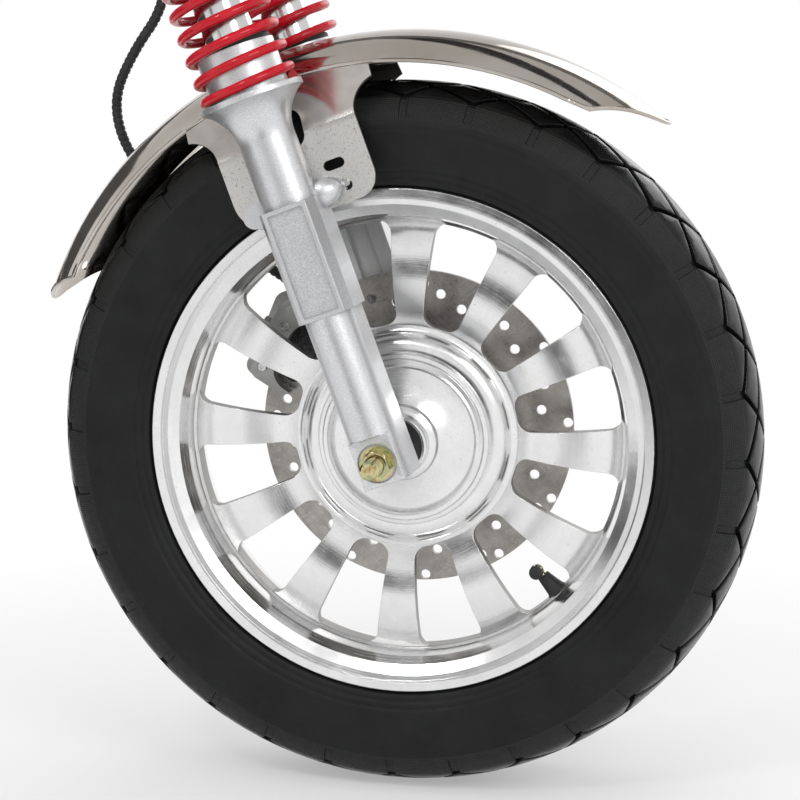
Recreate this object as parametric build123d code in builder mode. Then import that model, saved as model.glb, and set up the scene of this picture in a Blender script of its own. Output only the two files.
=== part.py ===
from build123d import *
from math import cos, radians, sin, sqrt, tan
import os

# Front fork and wheel of an electric tricycle, in millimetres.
#
# +X points forwards, +Y to the rider's left and +Z up. The origin is the middle of the steering
# head tube, on the steering axis. Places on the fork are counted from the wheel's axle:
# t forwards and square to the legs, y to the left, s upwards along the legs. Places on the
# wheel are counted from the axle's middle: r outwards, y to the left.

# Steering and stance
RAKE = 20.3
STEERING_OFFSET = 35.0
LEG_SPACING = 160.0
HEAD_BOTTOM_S = 480.0
HEAD_LENGTH = 124.0
HEAD_RADIUS = 25.0
HEAD_BORE_RADIUS = 20.5

# Steerer and its bearings
STEERER_RADIUS = 15.0
STEERER_BORE_RADIUS = 11.0
STEM_BORE_RADIUS = 12.7
STEM_BORE_LENGTH = 60.0
STEERER_TOP_S = 640.0
CUP_RADIUS = 24.5
CUP_HEIGHT = 7.0
CUP_SPIGOT = 12.0
RUNNING_GAP = 0.05
RACE_GAP = 0.4
RACE_HEIGHT = 8.0
LOCKNUT_FLATS = 40.0
LOCKNUT_HEIGHT = 9.0

# Crown
CROWN_HEIGHT = 30.0
CROWN_EYE_RADIUS = 26.0
CROWN_STEM_RADIUS = 24.0
PINCH_Y = 86.0
PINCH_SLOT = 3.0
PINCH_SLOT_T = -32.0
PINCH_SLOT_LENGTH = 40.0
PINCH_EAR = 9.0
PINCH_EAR_T = -28.0
PINCH_EAR_LENGTH = 22.0
PINCH_EAR_CORNER = 3.0
PINCH_INSET = 4.0

# Stanchions, springs and their seats
STANCHION_RADIUS = 16.0
STANCHION_WALL = 3.0
STANCHION_BOTTOM_S = 220.0
CAP_FLATS = 27.0
CAP_HEIGHT = 8.0
SPRING_OUTER_RADIUS = 31.8
SPRING_WIRE_RADIUS = 3.0
SPRING_WIRE_FACES = 8
SPRING_PITCH = 14.2
SPRING_TURNS = 12.68
SPRING_CLOSED_PITCH = 2.4
SPRING_CLOSED_TURNS = 0.68
SPRING_START_ANGLE = 22.0
SPRING_BOTTOM_S = 240.0
SEAT_RADIUS = 33.5
SEAT_THICKNESS = 4.0
SEAT_COLLAR_HEIGHT = 14.0
SEAL_RADIUS = 23.5
SEAL_HEIGHT = 5.0

# Slider casting
FOOT_S = -14.5
PAD_TOP_S = 16.5
PAD_Y = 99.6
PAD_RING_RADIUS = 12.15
PAD_RING_DEPTH = 1.4
SHANK_HALF_WIDTH = 15.8
SHANK_INNER_Y = 60.0
SHANK_ROUND_Y = 86.0
BLOCK_BOTTOM_S = 96.0
BLOCK_TOP_S = 168.0
BLOCK_FACE_Y = 102.0
BLOCK_FACE_HALF = 14.4
BLOCK_SHOULDER_Y = 92.5
BLOCK_SHOULDER_HALF = 18.6
PANEL_MARGIN = 2.6
PANEL_DEPTH = 1.6
PANEL_CORNER = 1.5
RECESS_T = 0.5
RECESS_WIDTH = 15.0
RECESS_DEPTH = 4.0
RECESS_BOTTOM_S = 22.0
RECESS_TOP_S = 150.0
RECESS_CORNER = 4.0
TUBE_RADIUS = 18.0
FLARE_BOTTOM_S = 208.0
FLARE_MIDDLE_OUT = 3.4
FLARE_MIDDLE_RISE = 17.0
CUP_RIM_RADIUS = 33.0
CUP_RIM_BOTTOM_S = 236.5
CUP_RIM_EDGE = 0.6
SLEEVE_RADIUS = 25.0
SLEEVE_TOP_S = 269.5
STANCHION_BORE_RADIUS = 16.3
LUG_T = 25.5
LUG_S = 168.5
LUG_RADIUS = 7.6
LUG_ROOT_RADIUS = 11.6
LUG_PAD_Y = 64.0
LUG_OUTER_Y = 78.0
NOSE_Y = 71.5
NOSE_ROOT_RADIUS = 11.0
# Columns: t and radius of the front lug's nose, from its shoulder to its end
NOSE_ARC = ((17.0, 9.8), (27.0, 7.0), (32.5, 0.0))
BRAKE_EARS_S = (62.0, 100.0)
BRAKE_EAR_T = -20.0
BRAKE_EAR_LENGTH = 34.0
BRAKE_EAR_HEIGHT = 16.0
BRAKE_EAR_OUTER_Y = 74.0

# Axle, nuts and spacers
AXLE_RADIUS = 6.0
AXLE_END_Y = 126.0
AXLE_HOLE_RADIUS = 6.2
WASHER_RADIUS = 11.0
WASHER_THICKNESS = 2.0
NUT_FLATS = 19.0
NUT_HEIGHT = 10.0
SPACER_RADIUS = 9.95

# Rim and hub
RIM_LIP_RADIUS = 166.4
RIM_HALF_WIDTH = 35.4
BEAD_SEAT_RADIUS = 152.35
BEAD_HALF_WIDTH = 31.75
# Rim's section from the middle of its well to the middle of its bore.
# Columns: radius, distance from the wheel's middle
RIM_SECTION = (
    (149.0, 14.0),
    (BEAD_SEAT_RADIUS - 1, BEAD_HALF_WIDTH - 12),
    (BEAD_SEAT_RADIUS, BEAD_HALF_WIDTH - 2),
    (BEAD_SEAT_RADIUS + 2, BEAD_HALF_WIDTH),
    (RIM_LIP_RADIUS, BEAD_HALF_WIDTH + 1),
    (RIM_LIP_RADIUS, RIM_HALF_WIDTH - 1),
    (RIM_LIP_RADIUS - 1, RIM_HALF_WIDTH),
    (160.0, RIM_HALF_WIDTH),
    (159.0, RIM_HALF_WIDTH - 1.5),
    (155.5, RIM_HALF_WIDTH - 2),
    (149.0, RIM_HALF_WIDTH - 6.5),
    (146.5, 18.0),
    (145.0, 8.0),
    (143.0, 6.0),
)
SPOKE_COUNT = 12
SPOKE_PHASE = -2.0
# Columns: radius and y of the spokes' bowed faces, at their root, crest and end
SPOKE_FACE = ((70.0, -2.3), (110.5, -13.5), (146.0, -5.5))
SPOKE_THICKNESS = 8.0
WINDOW_INNER_RADIUS = 75.0
WINDOW_OUTER_RADIUS = 143.5
WINDOW_INNER_HALF = 11.5
WINDOW_OUTER_HALF = 22.8
WINDOW_CORNER = 9.0
WINDOW_BACK_Y = 8.0
WINDOW_DEPTH = 25.0
# Hub's section. Columns: radius, y
HUB_FOOT_ARC = ((74.0, -4.6), (70.2, -6.2), (68.0, -9.0))
HUB_DOME_ARC = ((68.0, -9.0), (64.0, -12.4), (57.5, -14.0))
HUB_STEPS = (
    (57.5, -14.0),
    (56.5, -16.5),
    (54.0, -17.2),
    (53.2, -19.0),
    (50.5, -19.5),
    (49.2, -20.5),
    (48.2, -19.5),
    (47.6, -16.5),
)
HUB_DISH_ARC = ((47.6, -16.5), (36.0, -20.0), (25.2, -26.0))
HUB_BOSS = (
    (25.2, -26.0),
    (24.5, -30.5),
    (22.5, -32.0),
    (20.5, -33.0),
    (20.0, -41.0),
    (19.0, -42.0),
)
HUB_BACK = ((74.0, 3.4), (66.0, 9.0), (50.0, 14.0), (46.0, 33.1))
HUB_BORE_RADIUS = 12.0
HUB_END_RADIUS = 20.0
HUB_END_Y = 42.0
BEARING_RADIUS = 17.5
BEARING_WIDTH = 11.0
BEARING_BORE_RADIUS = 10.0
BEARING_OUTER_Y = 41.0

# Valve
VALVE_ANGLE = -45.0
VALVE_HOLE_RADIUS = 5.0
VALVE_HOLE_FROM = 138.0
VALVE_HOLE_LENGTH = 16.0
# Columns: distance of the step's root from the axle, its length, its radius, its taper
VALVE_STEPS = (
    (150.0, 12.0, VALVE_HOLE_RADIUS, 0),
    (143.0, 14.0, 6.5, 10),
    (129.0, 8.0, 3.0, 0),
)
VALVE_ELBOW_RADIUS = 124.0
# Columns: y of the step's left end, its length, its radius
VALVE_ELBOW = ((3.0, 14.0, 3.5), (-11.0, 11.0, 4.7))

# Tyre
TYRE_RADIUS = 233.5
TYRE_HALF_WIDTH = 44.0

# Brake disc
DISC_Y = 35.0
DISC_THICKNESS = 3.8
DISC_RADIUS = 106.7
DISC_BORE_RADIUS = 29.0
DISC_HOLE_RADIUS = 3.3
DISC_REPEATS = 12
# Columns: radius of the hole's centre, angle of the hole in its repeat
DISC_HOLES = (
    (103.0, 3.4),
    (98.0, -2.7),
    (92.0, -10.0),
    (86.0, -20.5),
)

# Brake caliper, turned about the axle to its place behind the left leg
CALIPER_ANGLE = 148.5
CALIPER_INNER_RADIUS = 84.0
CALIPER_OUTER_RADIUS = 121.0
CALIPER_STEP_RADIUS = 116.5
CALIPER_HALF_LENGTH = 29.0
CALIPER_CORNER = 7.0
CALIPER_NEAR_Y = 17.0
CALIPER_STEP_Y = 21.0
CALIPER_FAR_Y = 54.0
MOUTH_RADIUS = 104.5
MOUTH_HALF_LENGTH = 25.0
MOUTH_CORNER = 16.0
CALIPER_SLOT_RADIUS = 111.5
CALIPER_SLOT_HALF = 8.0
BRACKET_FAR_Y = 60.0
# Columns: t, s and radius of the bracket's corners
CALIPER_BRACKET_CORNERS = (
    (-20.0, 62.0, 9.0),
    (-20.0, 100.0, 9.0),
    (-62.0, 58.0, 10.0),
    (-88.0, 78.0, 10.0),
    (-62.0, 106.0, 10.0),
)
PAD_MIDDLE_RADIUS = 95.0
PAD_HEIGHT = 22.0
PAD_LENGTH = 40.0
PAD_CORNER = 5.0
PAD_THICKNESS = 5.0
PAD_GAP = 0.6

# Mudguard
GUARD_CENTRE_X = 3.6
GUARD_CENTRE_Z = 5.7
GUARD_CROWN_RADIUS = 260.0
GUARD_EDGE_RADIUS = 241.5
GUARD_RIDGE_Y = 40.0
GUARD_HALF_WIDTH = 45.0
GUARD_SHEET = 1.4
GUARD_SHOULDER_RADIUS = 255.6
GUARD_SHOULDER_Y = 25.0
GUARD_LIP_DROP = 1.0
GUARD_FOLD_INSET = 0.6
GUARD_FRONT_ANGLE = 50.6
GUARD_REAR_ANGLE = 161.8
# Columns: angle of the tip, +1 where angles grow towards it, length of the narrowing,
# distance from the tip and half width at a point of its flank
GUARD_NOSES = (
    (GUARD_FRONT_ANGLE, -1, 60.0, 24.5, 30.0),
    (GUARD_REAR_ANGLE, 1, 36.0, 14.5, 30.0),
)
GUARD_SPARE_ANGLE = 3.0
GUARD_NOSE_BACK = 3.5
GUARD_NOSE_HALF = 11.5
GUARD_HOLE_ANGLE = 156.8
GUARD_HOLE_Y = 24.0
GUARD_HOLE_RADIUS = 3.5

# Mudguard brackets
BRACKET_SHEET = 2.0
BRACKET_FRONT_T = 53.0
BRACKET_REAR_T = -41.0
BRACKET_BOTTOM_S = 157.5
BRACKET_BEND_S = 208.5
BRACKET_FRONT_CORNER = 15.0
BRACKET_REAR_CORNER = 22.0
BRACKET_TOP_Y = 44.5
BRACKET_TOP_S = 241.0
BRACKET_FLARE = 16.5
BRACKET_FLARE_RADIUS = 21.0
BRACKET_SLOTS = ((29.7, 183.0), (29.7, 168.0))
BRACKET_SLOT_LENGTH = 14.0
BRACKET_SLOT_WIDTH = 6.5
BRACKET_WINDOW_T = 1.8
BRACKET_WINDOW_S = 212.8
BRACKET_WINDOW_WIDTH = 33.5
BRACKET_WINDOW_HEIGHT = 24.4
BRACKET_WINDOW_CORNER = 8.0
BRACKET_TRIM_RADIUS = 239.05

# Brake hose, from the banjo on the caliper to the fitting above the crown
HOSE_RADIUS = 3.6
BANJO_RADIUS = 7.0
BANJO_HEIGHT = 10.0
BANJO_CENTRE_RADIUS = 114.0
BANJO_Y = 46.0
BANJO_NECK_RADIUS = 4.6
BANJO_NECK_LENGTH = 15.0
BANJO_BOLT_FLATS = 12.0
BANJO_BOLT_HEIGHT = 5.0
HOSE_FIRST_RUN = 20.0
HOSE_TOP_T = -45.0
HOSE_TOP_Y = 60.0
HOSE_TOP_S = 462.0
HOSE_CLIP_S = 438.0
# Columns: x, y and z of the route's free points, from the axle
HOSE_ROUTE = (
    (-144.0, 55.0, 128.0),
    (-183.0, 60.0, 152.0),
    (-212.0, 61.5, 182.0),
    (-221.0, 62.0, 218.0),
    (-205.0, 61.0, 251.0),
    (-182.0, 60.0, 281.0),
    (-179.0, 60.0, 320.0),
)

SPRING_RISE = SPRING_TURNS * SPRING_PITCH + 2 * SPRING_CLOSED_TURNS * SPRING_CLOSED_PITCH
SPRING_TOP_S = SPRING_BOTTOM_S + SPRING_RISE + 2 * SPRING_WIRE_RADIUS
CROWN_BOTTOM_S = SPRING_TOP_S + SEAT_THICKNESS
STANCHION_TOP_S = CROWN_BOTTOM_S + CROWN_HEIGHT
UP_LEG = Vector(-sin(radians(RAKE)), 0, cos(radians(RAKE)))
FORWARD = Vector(cos(radians(RAKE)), 0, sin(radians(RAKE)))
LEFT = Vector(0, 1, 0)
HEAD_MIDDLE_S = HEAD_BOTTOM_S + HEAD_LENGTH / 2
AXLE = FORWARD * STEERING_OFFSET - UP_LEG * HEAD_MIDDLE_S
SPIN_AXIS = Axis(AXLE, (0, 1, 0))
STEERING_AXIS = Axis((0, 0, 0), UP_LEG)
LEG_Y = LEG_SPACING / 2
SIDES = (("left", 1), ("right", -1))


def fork_point(t, y, s):
    """A place on the fork, from the axle."""
    return AXLE + FORWARD * t + LEFT * y + UP_LEG * s


def fork_level(s, t=0.0, y=0.0):
    """A plane square to the legs, with t and y as its directions."""
    return Plane(origin=fork_point(t, y, s), x_dir=FORWARD, z_dir=UP_LEG)


def fork_side(y, t=0.0, s=0.0):
    """A plane along the legs, with t and s as its directions, facing right."""
    return Plane(origin=fork_point(t, y, s), x_dir=FORWARD, z_dir=(0, -1, 0))


def side_plane(sign, inner, outer):
    """The plane from which an extrusion to the right fills inner to outer on one side."""
    return fork_side(max(sign * inner, sign * outer))


def wheel_side(y, angle=0.0):
    """A plane along the wheel, facing right, with its first direction at an angle."""
    along = (cos(radians(angle)), 0, sin(radians(angle)))
    return Plane(origin=AXLE + LEFT * y, x_dir=along, z_dir=(0, -1, 0))


def steering_section():
    """A plane through the steering axis, with the distance from it and s as directions."""
    return Plane(origin=fork_point(-STEERING_OFFSET, 0, 0), x_dir=FORWARD, z_dir=(0, -1, 0))


WHEEL_SECTION = Plane(origin=AXLE, x_dir=(1, 0, 0), z_dir=(0, 0, 1))

os.makedirs("parts", exist_ok=True)


# Head tube and bearing cups

HEAD_TOP_S = HEAD_BOTTOM_S + HEAD_LENGTH

with BuildPart() as head_tube:
    with BuildSketch(fork_level(HEAD_BOTTOM_S, -STEERING_OFFSET)):
        Circle(HEAD_RADIUS)
        Circle(HEAD_BORE_RADIUS, mode=Mode.SUBTRACT)
    extrude(amount=HEAD_LENGTH)
head_tube.part.label = "head_tube"
export_step(head_tube.part, "parts/head_tube.step")

# Columns: node's name, s of the tube's end, direction out of the tube
CUPS = (
    ("lower_bearing_cup", HEAD_BOTTOM_S, -1),
    ("upper_bearing_cup", HEAD_TOP_S, 1),
)
for cup_name, end_s, outward in CUPS:
    lip_s = end_s + outward * CUP_HEIGHT
    spigot_s = end_s - outward * CUP_SPIGOT
    with BuildPart() as cup:
        with BuildSketch(steering_section()):
            with BuildLine():
                Polyline(
                    (STEERER_RADIUS + RUNNING_GAP, lip_s),
                    (CUP_RADIUS - 2, lip_s),
                    (CUP_RADIUS, lip_s - outward * 2),
                    (CUP_RADIUS, end_s),
                    (HEAD_BORE_RADIUS, end_s),
                    (HEAD_BORE_RADIUS, spigot_s),
                    (STEERER_RADIUS + RUNNING_GAP, spigot_s),
                    close=True,
                )
            make_face()
        revolve(axis=STEERING_AXIS)
    cup.part.label = cup_name
    export_step(cup.part, f"parts/{cup_name}.step")


# Crown, steerer and headset

CROWN_TOP_S = CROWN_BOTTOM_S + CROWN_HEIGHT


def crown_outline():
    """Plan of the crown: an arm from the steerer's eye to each leg's eye."""
    with BuildSketch() as outline:
        for _, sign in SIDES:
            with BuildSketch(mode=Mode.PRIVATE) as arm:
                with Locations((0, sign * LEG_Y)):
                    Circle(CROWN_EYE_RADIUS)
                with Locations((-STEERING_OFFSET, 0)):
                    Circle(CROWN_STEM_RADIUS)
                make_hull()
            add(arm.sketch)
    return outline.sketch


with BuildPart() as crown:
    # Forged bridge from one leg's eye over the steerer to the other
    with BuildSketch(fork_level(CROWN_BOTTOM_S)):
        add(crown_outline())
    extrude(amount=CROWN_HEIGHT)
    # Pinch ears behind each eye
    for _, sign in SIDES:
        with BuildSketch(fork_level(CROWN_BOTTOM_S + PINCH_INSET)):
            with Locations((PINCH_EAR_T, sign * PINCH_Y)):
                RectangleRounded(PINCH_EAR_LENGTH, 2 * PINCH_EAR + PINCH_SLOT, PINCH_EAR_CORNER)
        extrude(amount=CROWN_HEIGHT - 2 * PINCH_INSET)
    # Bores, pinch slots and the pocket under the bridge
    with BuildSketch(fork_level(CROWN_BOTTOM_S)):
        with Locations((0, LEG_Y), (0, -LEG_Y)):
            Circle(STANCHION_RADIUS)
        with Locations((-STEERING_OFFSET, 0)):
            Circle(STEERER_RADIUS)
        with Locations((PINCH_SLOT_T, PINCH_Y), (PINCH_SLOT_T, -PINCH_Y)):
            Rectangle(PINCH_SLOT_LENGTH, PINCH_SLOT)
    extrude(amount=CROWN_HEIGHT, mode=Mode.SUBTRACT)
crown.part.label = "crown"
export_step(crown.part, "parts/crown.step")

with BuildPart() as steerer_tube:
    with BuildSketch(fork_level(CROWN_BOTTOM_S, -STEERING_OFFSET)):
        Circle(STEERER_RADIUS)
        Circle(STEERER_BORE_RADIUS, mode=Mode.SUBTRACT)
    extrude(amount=STEERER_TOP_S - CROWN_BOTTOM_S)
    with BuildSketch(fork_level(STEERER_TOP_S - STEM_BORE_LENGTH, -STEERING_OFFSET)):
        Circle(STEM_BORE_RADIUS)
    extrude(amount=STEM_BORE_LENGTH, mode=Mode.SUBTRACT)
steerer_tube.part.label = "steerer_tube"
export_step(steerer_tube.part, "parts/steerer_tube.step")

LOWER_RACE_TOP_S = HEAD_BOTTOM_S - CUP_HEIGHT - RACE_GAP
UPPER_RACE_BOTTOM_S = HEAD_TOP_S + CUP_HEIGHT + RACE_GAP

with BuildPart() as crown_race:
    with BuildSketch(steering_section()):
        with BuildLine():
            Polyline(
                (STEERER_RADIUS, CROWN_TOP_S),
                (CUP_RADIUS, CROWN_TOP_S),
                (CUP_RADIUS, CROWN_TOP_S + 4),
                (CUP_RADIUS - 3, LOWER_RACE_TOP_S),
                (STEERER_RADIUS, LOWER_RACE_TOP_S),
                close=True,
            )
        make_face()
    revolve(axis=STEERING_AXIS)
crown_race.part.label = "crown_race"
export_step(crown_race.part, "parts/crown_race.step")

with BuildPart() as upper_race:
    with BuildSketch(fork_level(UPPER_RACE_BOTTOM_S, -STEERING_OFFSET)):
        Circle(CUP_RADIUS - 1)
        Circle(STEERER_RADIUS, mode=Mode.SUBTRACT)
    extrude(amount=RACE_HEIGHT)
    chamfer(upper_race.edges().group_by(Axis(AXLE, UP_LEG))[-1].sort_by(SortBy.RADIUS)[-1], 2)
upper_race.part.label = "upper_race"
export_step(upper_race.part, "parts/upper_race.step")

with BuildPart() as headset_locknut:
    with BuildSketch(fork_level(UPPER_RACE_BOTTOM_S + RACE_HEIGHT, -STEERING_OFFSET)):
        RegularPolygon(LOCKNUT_FLATS / 2, 6, major_radius=False)
        Circle(STEERER_RADIUS, mode=Mode.SUBTRACT)
    extrude(amount=LOCKNUT_HEIGHT)
headset_locknut.part.label = "headset_locknut"
export_step(headset_locknut.part, "parts/headset_locknut.step")


# Legs: stanchion, cap, spring, upper seat, dust seal and slider on each side

def coil_spring(sign):
    """Red coil spring: right-handed wire whose end turns lie nearly flat."""
    radius = SPRING_OUTER_RADIUS - SPRING_WIRE_RADIUS
    start_s = SPRING_BOTTOM_S + SPRING_WIRE_RADIUS
    angle = SPRING_START_ANGLE
    # Columns: pitch of the stretch, its turns
    stretches = (
        (SPRING_CLOSED_PITCH, SPRING_CLOSED_TURNS),
        (SPRING_PITCH, SPRING_TURNS),
        (SPRING_CLOSED_PITCH, SPRING_CLOSED_TURNS),
    )
    with BuildPart() as spring:
        for pitch, turns in stretches:
            outward = FORWARD * cos(radians(angle)) + LEFT * sin(radians(angle))
            around = LEFT * cos(radians(angle)) - FORWARD * sin(radians(angle))
            level = Plane(origin=fork_point(0, sign * LEG_Y, start_s), x_dir=outward, z_dir=UP_LEG)
            with BuildLine(mode=Mode.PRIVATE):
                coil = level.location * Helix(pitch=pitch, height=pitch * turns, radius=radius)
            with BuildSketch(Plane(origin=coil @ 0, x_dir=outward, z_dir=around)):
                RegularPolygon(SPRING_WIRE_RADIUS, SPRING_WIRE_FACES, rotation=180 / SPRING_WIRE_FACES)
            sweep(path=coil, is_frenet=True)
            start_s += pitch * turns
            angle += 360 * turns
    return spring


def slider_casting(sign):
    """Cast slider: shank with axle pad, panelled block, tube, flare, cup and sleeve."""
    y = sign * LEG_Y
    axis = Axis(fork_point(0, y, 0), UP_LEG)
    with BuildPart() as slider:
        # Shank with flat flanks and a half-round outer face
        with BuildSketch(fork_level(FOOT_S)):
            with Locations((0, sign * (SHANK_INNER_Y + SHANK_ROUND_Y) / 2)):
                Rectangle(2 * SHANK_HALF_WIDTH, SHANK_ROUND_Y - SHANK_INNER_Y)
            with Locations((0, sign * SHANK_ROUND_Y)):
                Circle(SHANK_HALF_WIDTH)
        extrude(amount=BLOCK_BOTTOM_S - FOOT_S)
        # Raised block
        with BuildSketch(fork_level(BLOCK_BOTTOM_S)):
            with BuildLine():
                Polyline(
                    (-BLOCK_SHOULDER_HALF, sign * SHANK_INNER_Y),
                    (BLOCK_SHOULDER_HALF, sign * SHANK_INNER_Y),
                    (BLOCK_SHOULDER_HALF, sign * BLOCK_SHOULDER_Y),
                    (BLOCK_FACE_HALF, sign * BLOCK_FACE_Y),
                    (-BLOCK_FACE_HALF, sign * BLOCK_FACE_Y),
                    (-BLOCK_SHOULDER_HALF, sign * BLOCK_SHOULDER_Y),
                    close=True,
                )
            make_face()
        extrude(amount=BLOCK_TOP_S - BLOCK_BOTTOM_S)
        # Tube, flare, spring cup and sleeve, turned about the leg
        with BuildSketch(fork_side(y)):
            with BuildLine():
                Polyline(
                    (0, BLOCK_BOTTOM_S + 20),
                    (TUBE_RADIUS, BLOCK_BOTTOM_S + 20),
                    (TUBE_RADIUS, FLARE_BOTTOM_S),
                )
                ThreePointArc(
                    (TUBE_RADIUS, FLARE_BOTTOM_S),
                    (TUBE_RADIUS + FLARE_MIDDLE_OUT, FLARE_BOTTOM_S + FLARE_MIDDLE_RISE),
                    (CUP_RIM_RADIUS - CUP_RIM_EDGE, CUP_RIM_BOTTOM_S),
                )
                Polyline(
                    (CUP_RIM_RADIUS - CUP_RIM_EDGE, CUP_RIM_BOTTOM_S),
                    (CUP_RIM_RADIUS, CUP_RIM_BOTTOM_S),
                    (CUP_RIM_RADIUS, SPRING_BOTTOM_S),
                    (SLEEVE_RADIUS, SPRING_BOTTOM_S),
                    (SLEEVE_RADIUS, SLEEVE_TOP_S),
                    (0, SLEEVE_TOP_S),
                    (0, BLOCK_BOTTOM_S + 20),
                )
            make_face()
        revolve(axis=axis)
        # Lugs for the mudguard bracket, flat in front of the tube and round behind it
        for lug_t, lug_y in ((LUG_T, LUG_PAD_Y), (-LUG_T, LUG_OUTER_Y)):
            with BuildSketch(side_plane(sign, SHANK_INNER_Y, lug_y)):
                with BuildSketch(mode=Mode.PRIVATE) as lug:
                    with Locations((lug_t, LUG_S)):
                        Circle(LUG_RADIUS)
                    with Locations((0, LUG_S)):
                        Circle(LUG_ROOT_RADIUS)
                    make_hull()
                add(lug.sketch)
            extrude(amount=lug_y - SHANK_INNER_Y)
        # Bullet-shaped nose over the front lug
        nose_middle = fork_point(0, sign * NOSE_Y, LUG_S)
        with BuildSketch(Plane(origin=nose_middle, x_dir=FORWARD, z_dir=(0, -1, 0))):
            with BuildLine():
                Polyline(NOSE_ARC[2], (0, 0), (0, NOSE_ROOT_RADIUS), NOSE_ARC[0])
                ThreePointArc(*NOSE_ARC)
            make_face()
        revolve(axis=Axis(nose_middle, FORWARD))
        # Ears for the brake, on the left leg alone
        if sign > 0:
            for ear_s in BRAKE_EARS_S:
                with BuildSketch(side_plane(sign, BRACKET_FAR_Y, BRAKE_EAR_OUTER_Y)):
                    with Locations((BRAKE_EAR_T, ear_s)):
                        SlotOverall(BRAKE_EAR_LENGTH, BRAKE_EAR_HEIGHT)
                extrude(amount=BRAKE_EAR_OUTER_Y - BRACKET_FAR_Y)
        # Milled pad and the ring round the axle nut
        with BuildSketch(side_plane(sign, PAD_Y, BLOCK_FACE_Y + 2)):
            with Locations((0, (FOOT_S + PAD_TOP_S) / 2 - 5)):
                Rectangle(50, PAD_TOP_S - FOOT_S + 10)
        extrude(amount=BLOCK_FACE_Y + 2 - PAD_Y, mode=Mode.SUBTRACT)
        with BuildSketch(side_plane(sign, PAD_Y - PAD_RING_DEPTH, PAD_Y)):
            Circle(PAD_RING_RADIUS)
        extrude(amount=PAD_RING_DEPTH, mode=Mode.SUBTRACT)
        with BuildSketch(side_plane(sign, SHANK_INNER_Y, PAD_Y)):
            Circle(AXLE_HOLE_RADIUS)
        extrude(amount=PAD_Y - SHANK_INNER_Y, mode=Mode.SUBTRACT)
        # Recessed panel in the block's face
        with BuildSketch(side_plane(sign, BLOCK_FACE_Y - PANEL_DEPTH, BLOCK_FACE_Y)):
            with Locations((0, (BLOCK_BOTTOM_S + BLOCK_TOP_S) / 2)):
                RectangleRounded(
                    2 * (BLOCK_FACE_HALF - PANEL_MARGIN),
                    BLOCK_TOP_S - BLOCK_BOTTOM_S - 2 * PANEL_MARGIN,
                    PANEL_CORNER,
                )
        extrude(amount=PANEL_DEPTH, mode=Mode.SUBTRACT)
        # Recess in the face towards the wheel
        with BuildSketch(side_plane(sign, SHANK_INNER_Y, SHANK_INNER_Y + RECESS_DEPTH)):
            with Locations((RECESS_T, (RECESS_BOTTOM_S + RECESS_TOP_S) / 2)):
                RectangleRounded(RECESS_WIDTH, RECESS_TOP_S - RECESS_BOTTOM_S, RECESS_CORNER)
        extrude(amount=RECESS_DEPTH, mode=Mode.SUBTRACT)
        # Bore for the stanchion
        with BuildSketch(fork_level(STANCHION_BOTTOM_S, 0, y)):
            Circle(STANCHION_BORE_RADIUS)
        extrude(amount=SLEEVE_TOP_S - STANCHION_BOTTOM_S, mode=Mode.SUBTRACT)
    return slider


for side_name, sign in SIDES:
    leg_y = sign * LEG_Y

    with BuildPart() as stanchion:
        with BuildSketch(fork_level(STANCHION_BOTTOM_S, 0, leg_y)):
            Circle(STANCHION_RADIUS)
            Circle(STANCHION_RADIUS - STANCHION_WALL, mode=Mode.SUBTRACT)
        extrude(amount=STANCHION_TOP_S - STANCHION_BOTTOM_S)
    stanchion.part.label = f"stanchion_{side_name}"
    export_step(stanchion.part, f"parts/stanchion_{side_name}.step")

    with BuildPart() as stanchion_cap:
        with BuildSketch(fork_level(STANCHION_TOP_S, 0, leg_y)):
            Circle(STANCHION_RADIUS + 1)
        extrude(amount=2)
        with BuildSketch(fork_level(STANCHION_TOP_S + 2, 0, leg_y)):
            RegularPolygon(CAP_FLATS / 2, 6, major_radius=False)
        extrude(amount=CAP_HEIGHT)
    stanchion_cap.part.label = f"stanchion_cap_{side_name}"
    export_step(stanchion_cap.part, f"parts/stanchion_cap_{side_name}.step")

    spring = coil_spring(sign)
    spring.part.label = f"spring_{side_name}"
    export_step(spring.part, f"parts/spring_{side_name}.step")

    with BuildPart() as spring_seat:
        with BuildSketch(fork_level(SPRING_TOP_S, 0, leg_y)):
            Circle(SEAT_RADIUS)
            Circle(STANCHION_RADIUS, mode=Mode.SUBTRACT)
        extrude(amount=CROWN_BOTTOM_S - SPRING_TOP_S)
        with BuildSketch(fork_level(SPRING_TOP_S - SEAT_COLLAR_HEIGHT, 0, leg_y)):
            Circle(SPRING_OUTER_RADIUS - 2 * SPRING_WIRE_RADIUS - 0.8)
            Circle(STANCHION_RADIUS, mode=Mode.SUBTRACT)
        extrude(amount=SEAT_COLLAR_HEIGHT)
    spring_seat.part.label = f"spring_seat_{side_name}"
    export_step(spring_seat.part, f"parts/spring_seat_{side_name}.step")

    with BuildPart() as dust_seal:
        with BuildSketch(fork_level(SLEEVE_TOP_S, 0, leg_y)):
            Circle(SEAL_RADIUS)
            Circle(STANCHION_RADIUS, mode=Mode.SUBTRACT)
        extrude(amount=SEAL_HEIGHT)
        chamfer(dust_seal.edges().group_by(Axis(AXLE, UP_LEG))[-1].sort_by(SortBy.RADIUS)[-1], 2)
    dust_seal.part.label = f"dust_seal_{side_name}"
    export_step(dust_seal.part, f"parts/dust_seal_{side_name}.step")

    slider = slider_casting(sign)
    slider.part.label = f"slider_{side_name}"
    export_step(slider.part, f"parts/slider_{side_name}.step")


# Axle, washers, nuts and spacers

with BuildPart() as axle:
    with BuildSketch(wheel_side(AXLE_END_Y)):
        Circle(AXLE_RADIUS)
    extrude(amount=2 * AXLE_END_Y)
    chamfer(axle.edges().filter_by(GeomType.CIRCLE), 1.5)
axle.part.label = "axle"
export_step(axle.part, "parts/axle.step")

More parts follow.
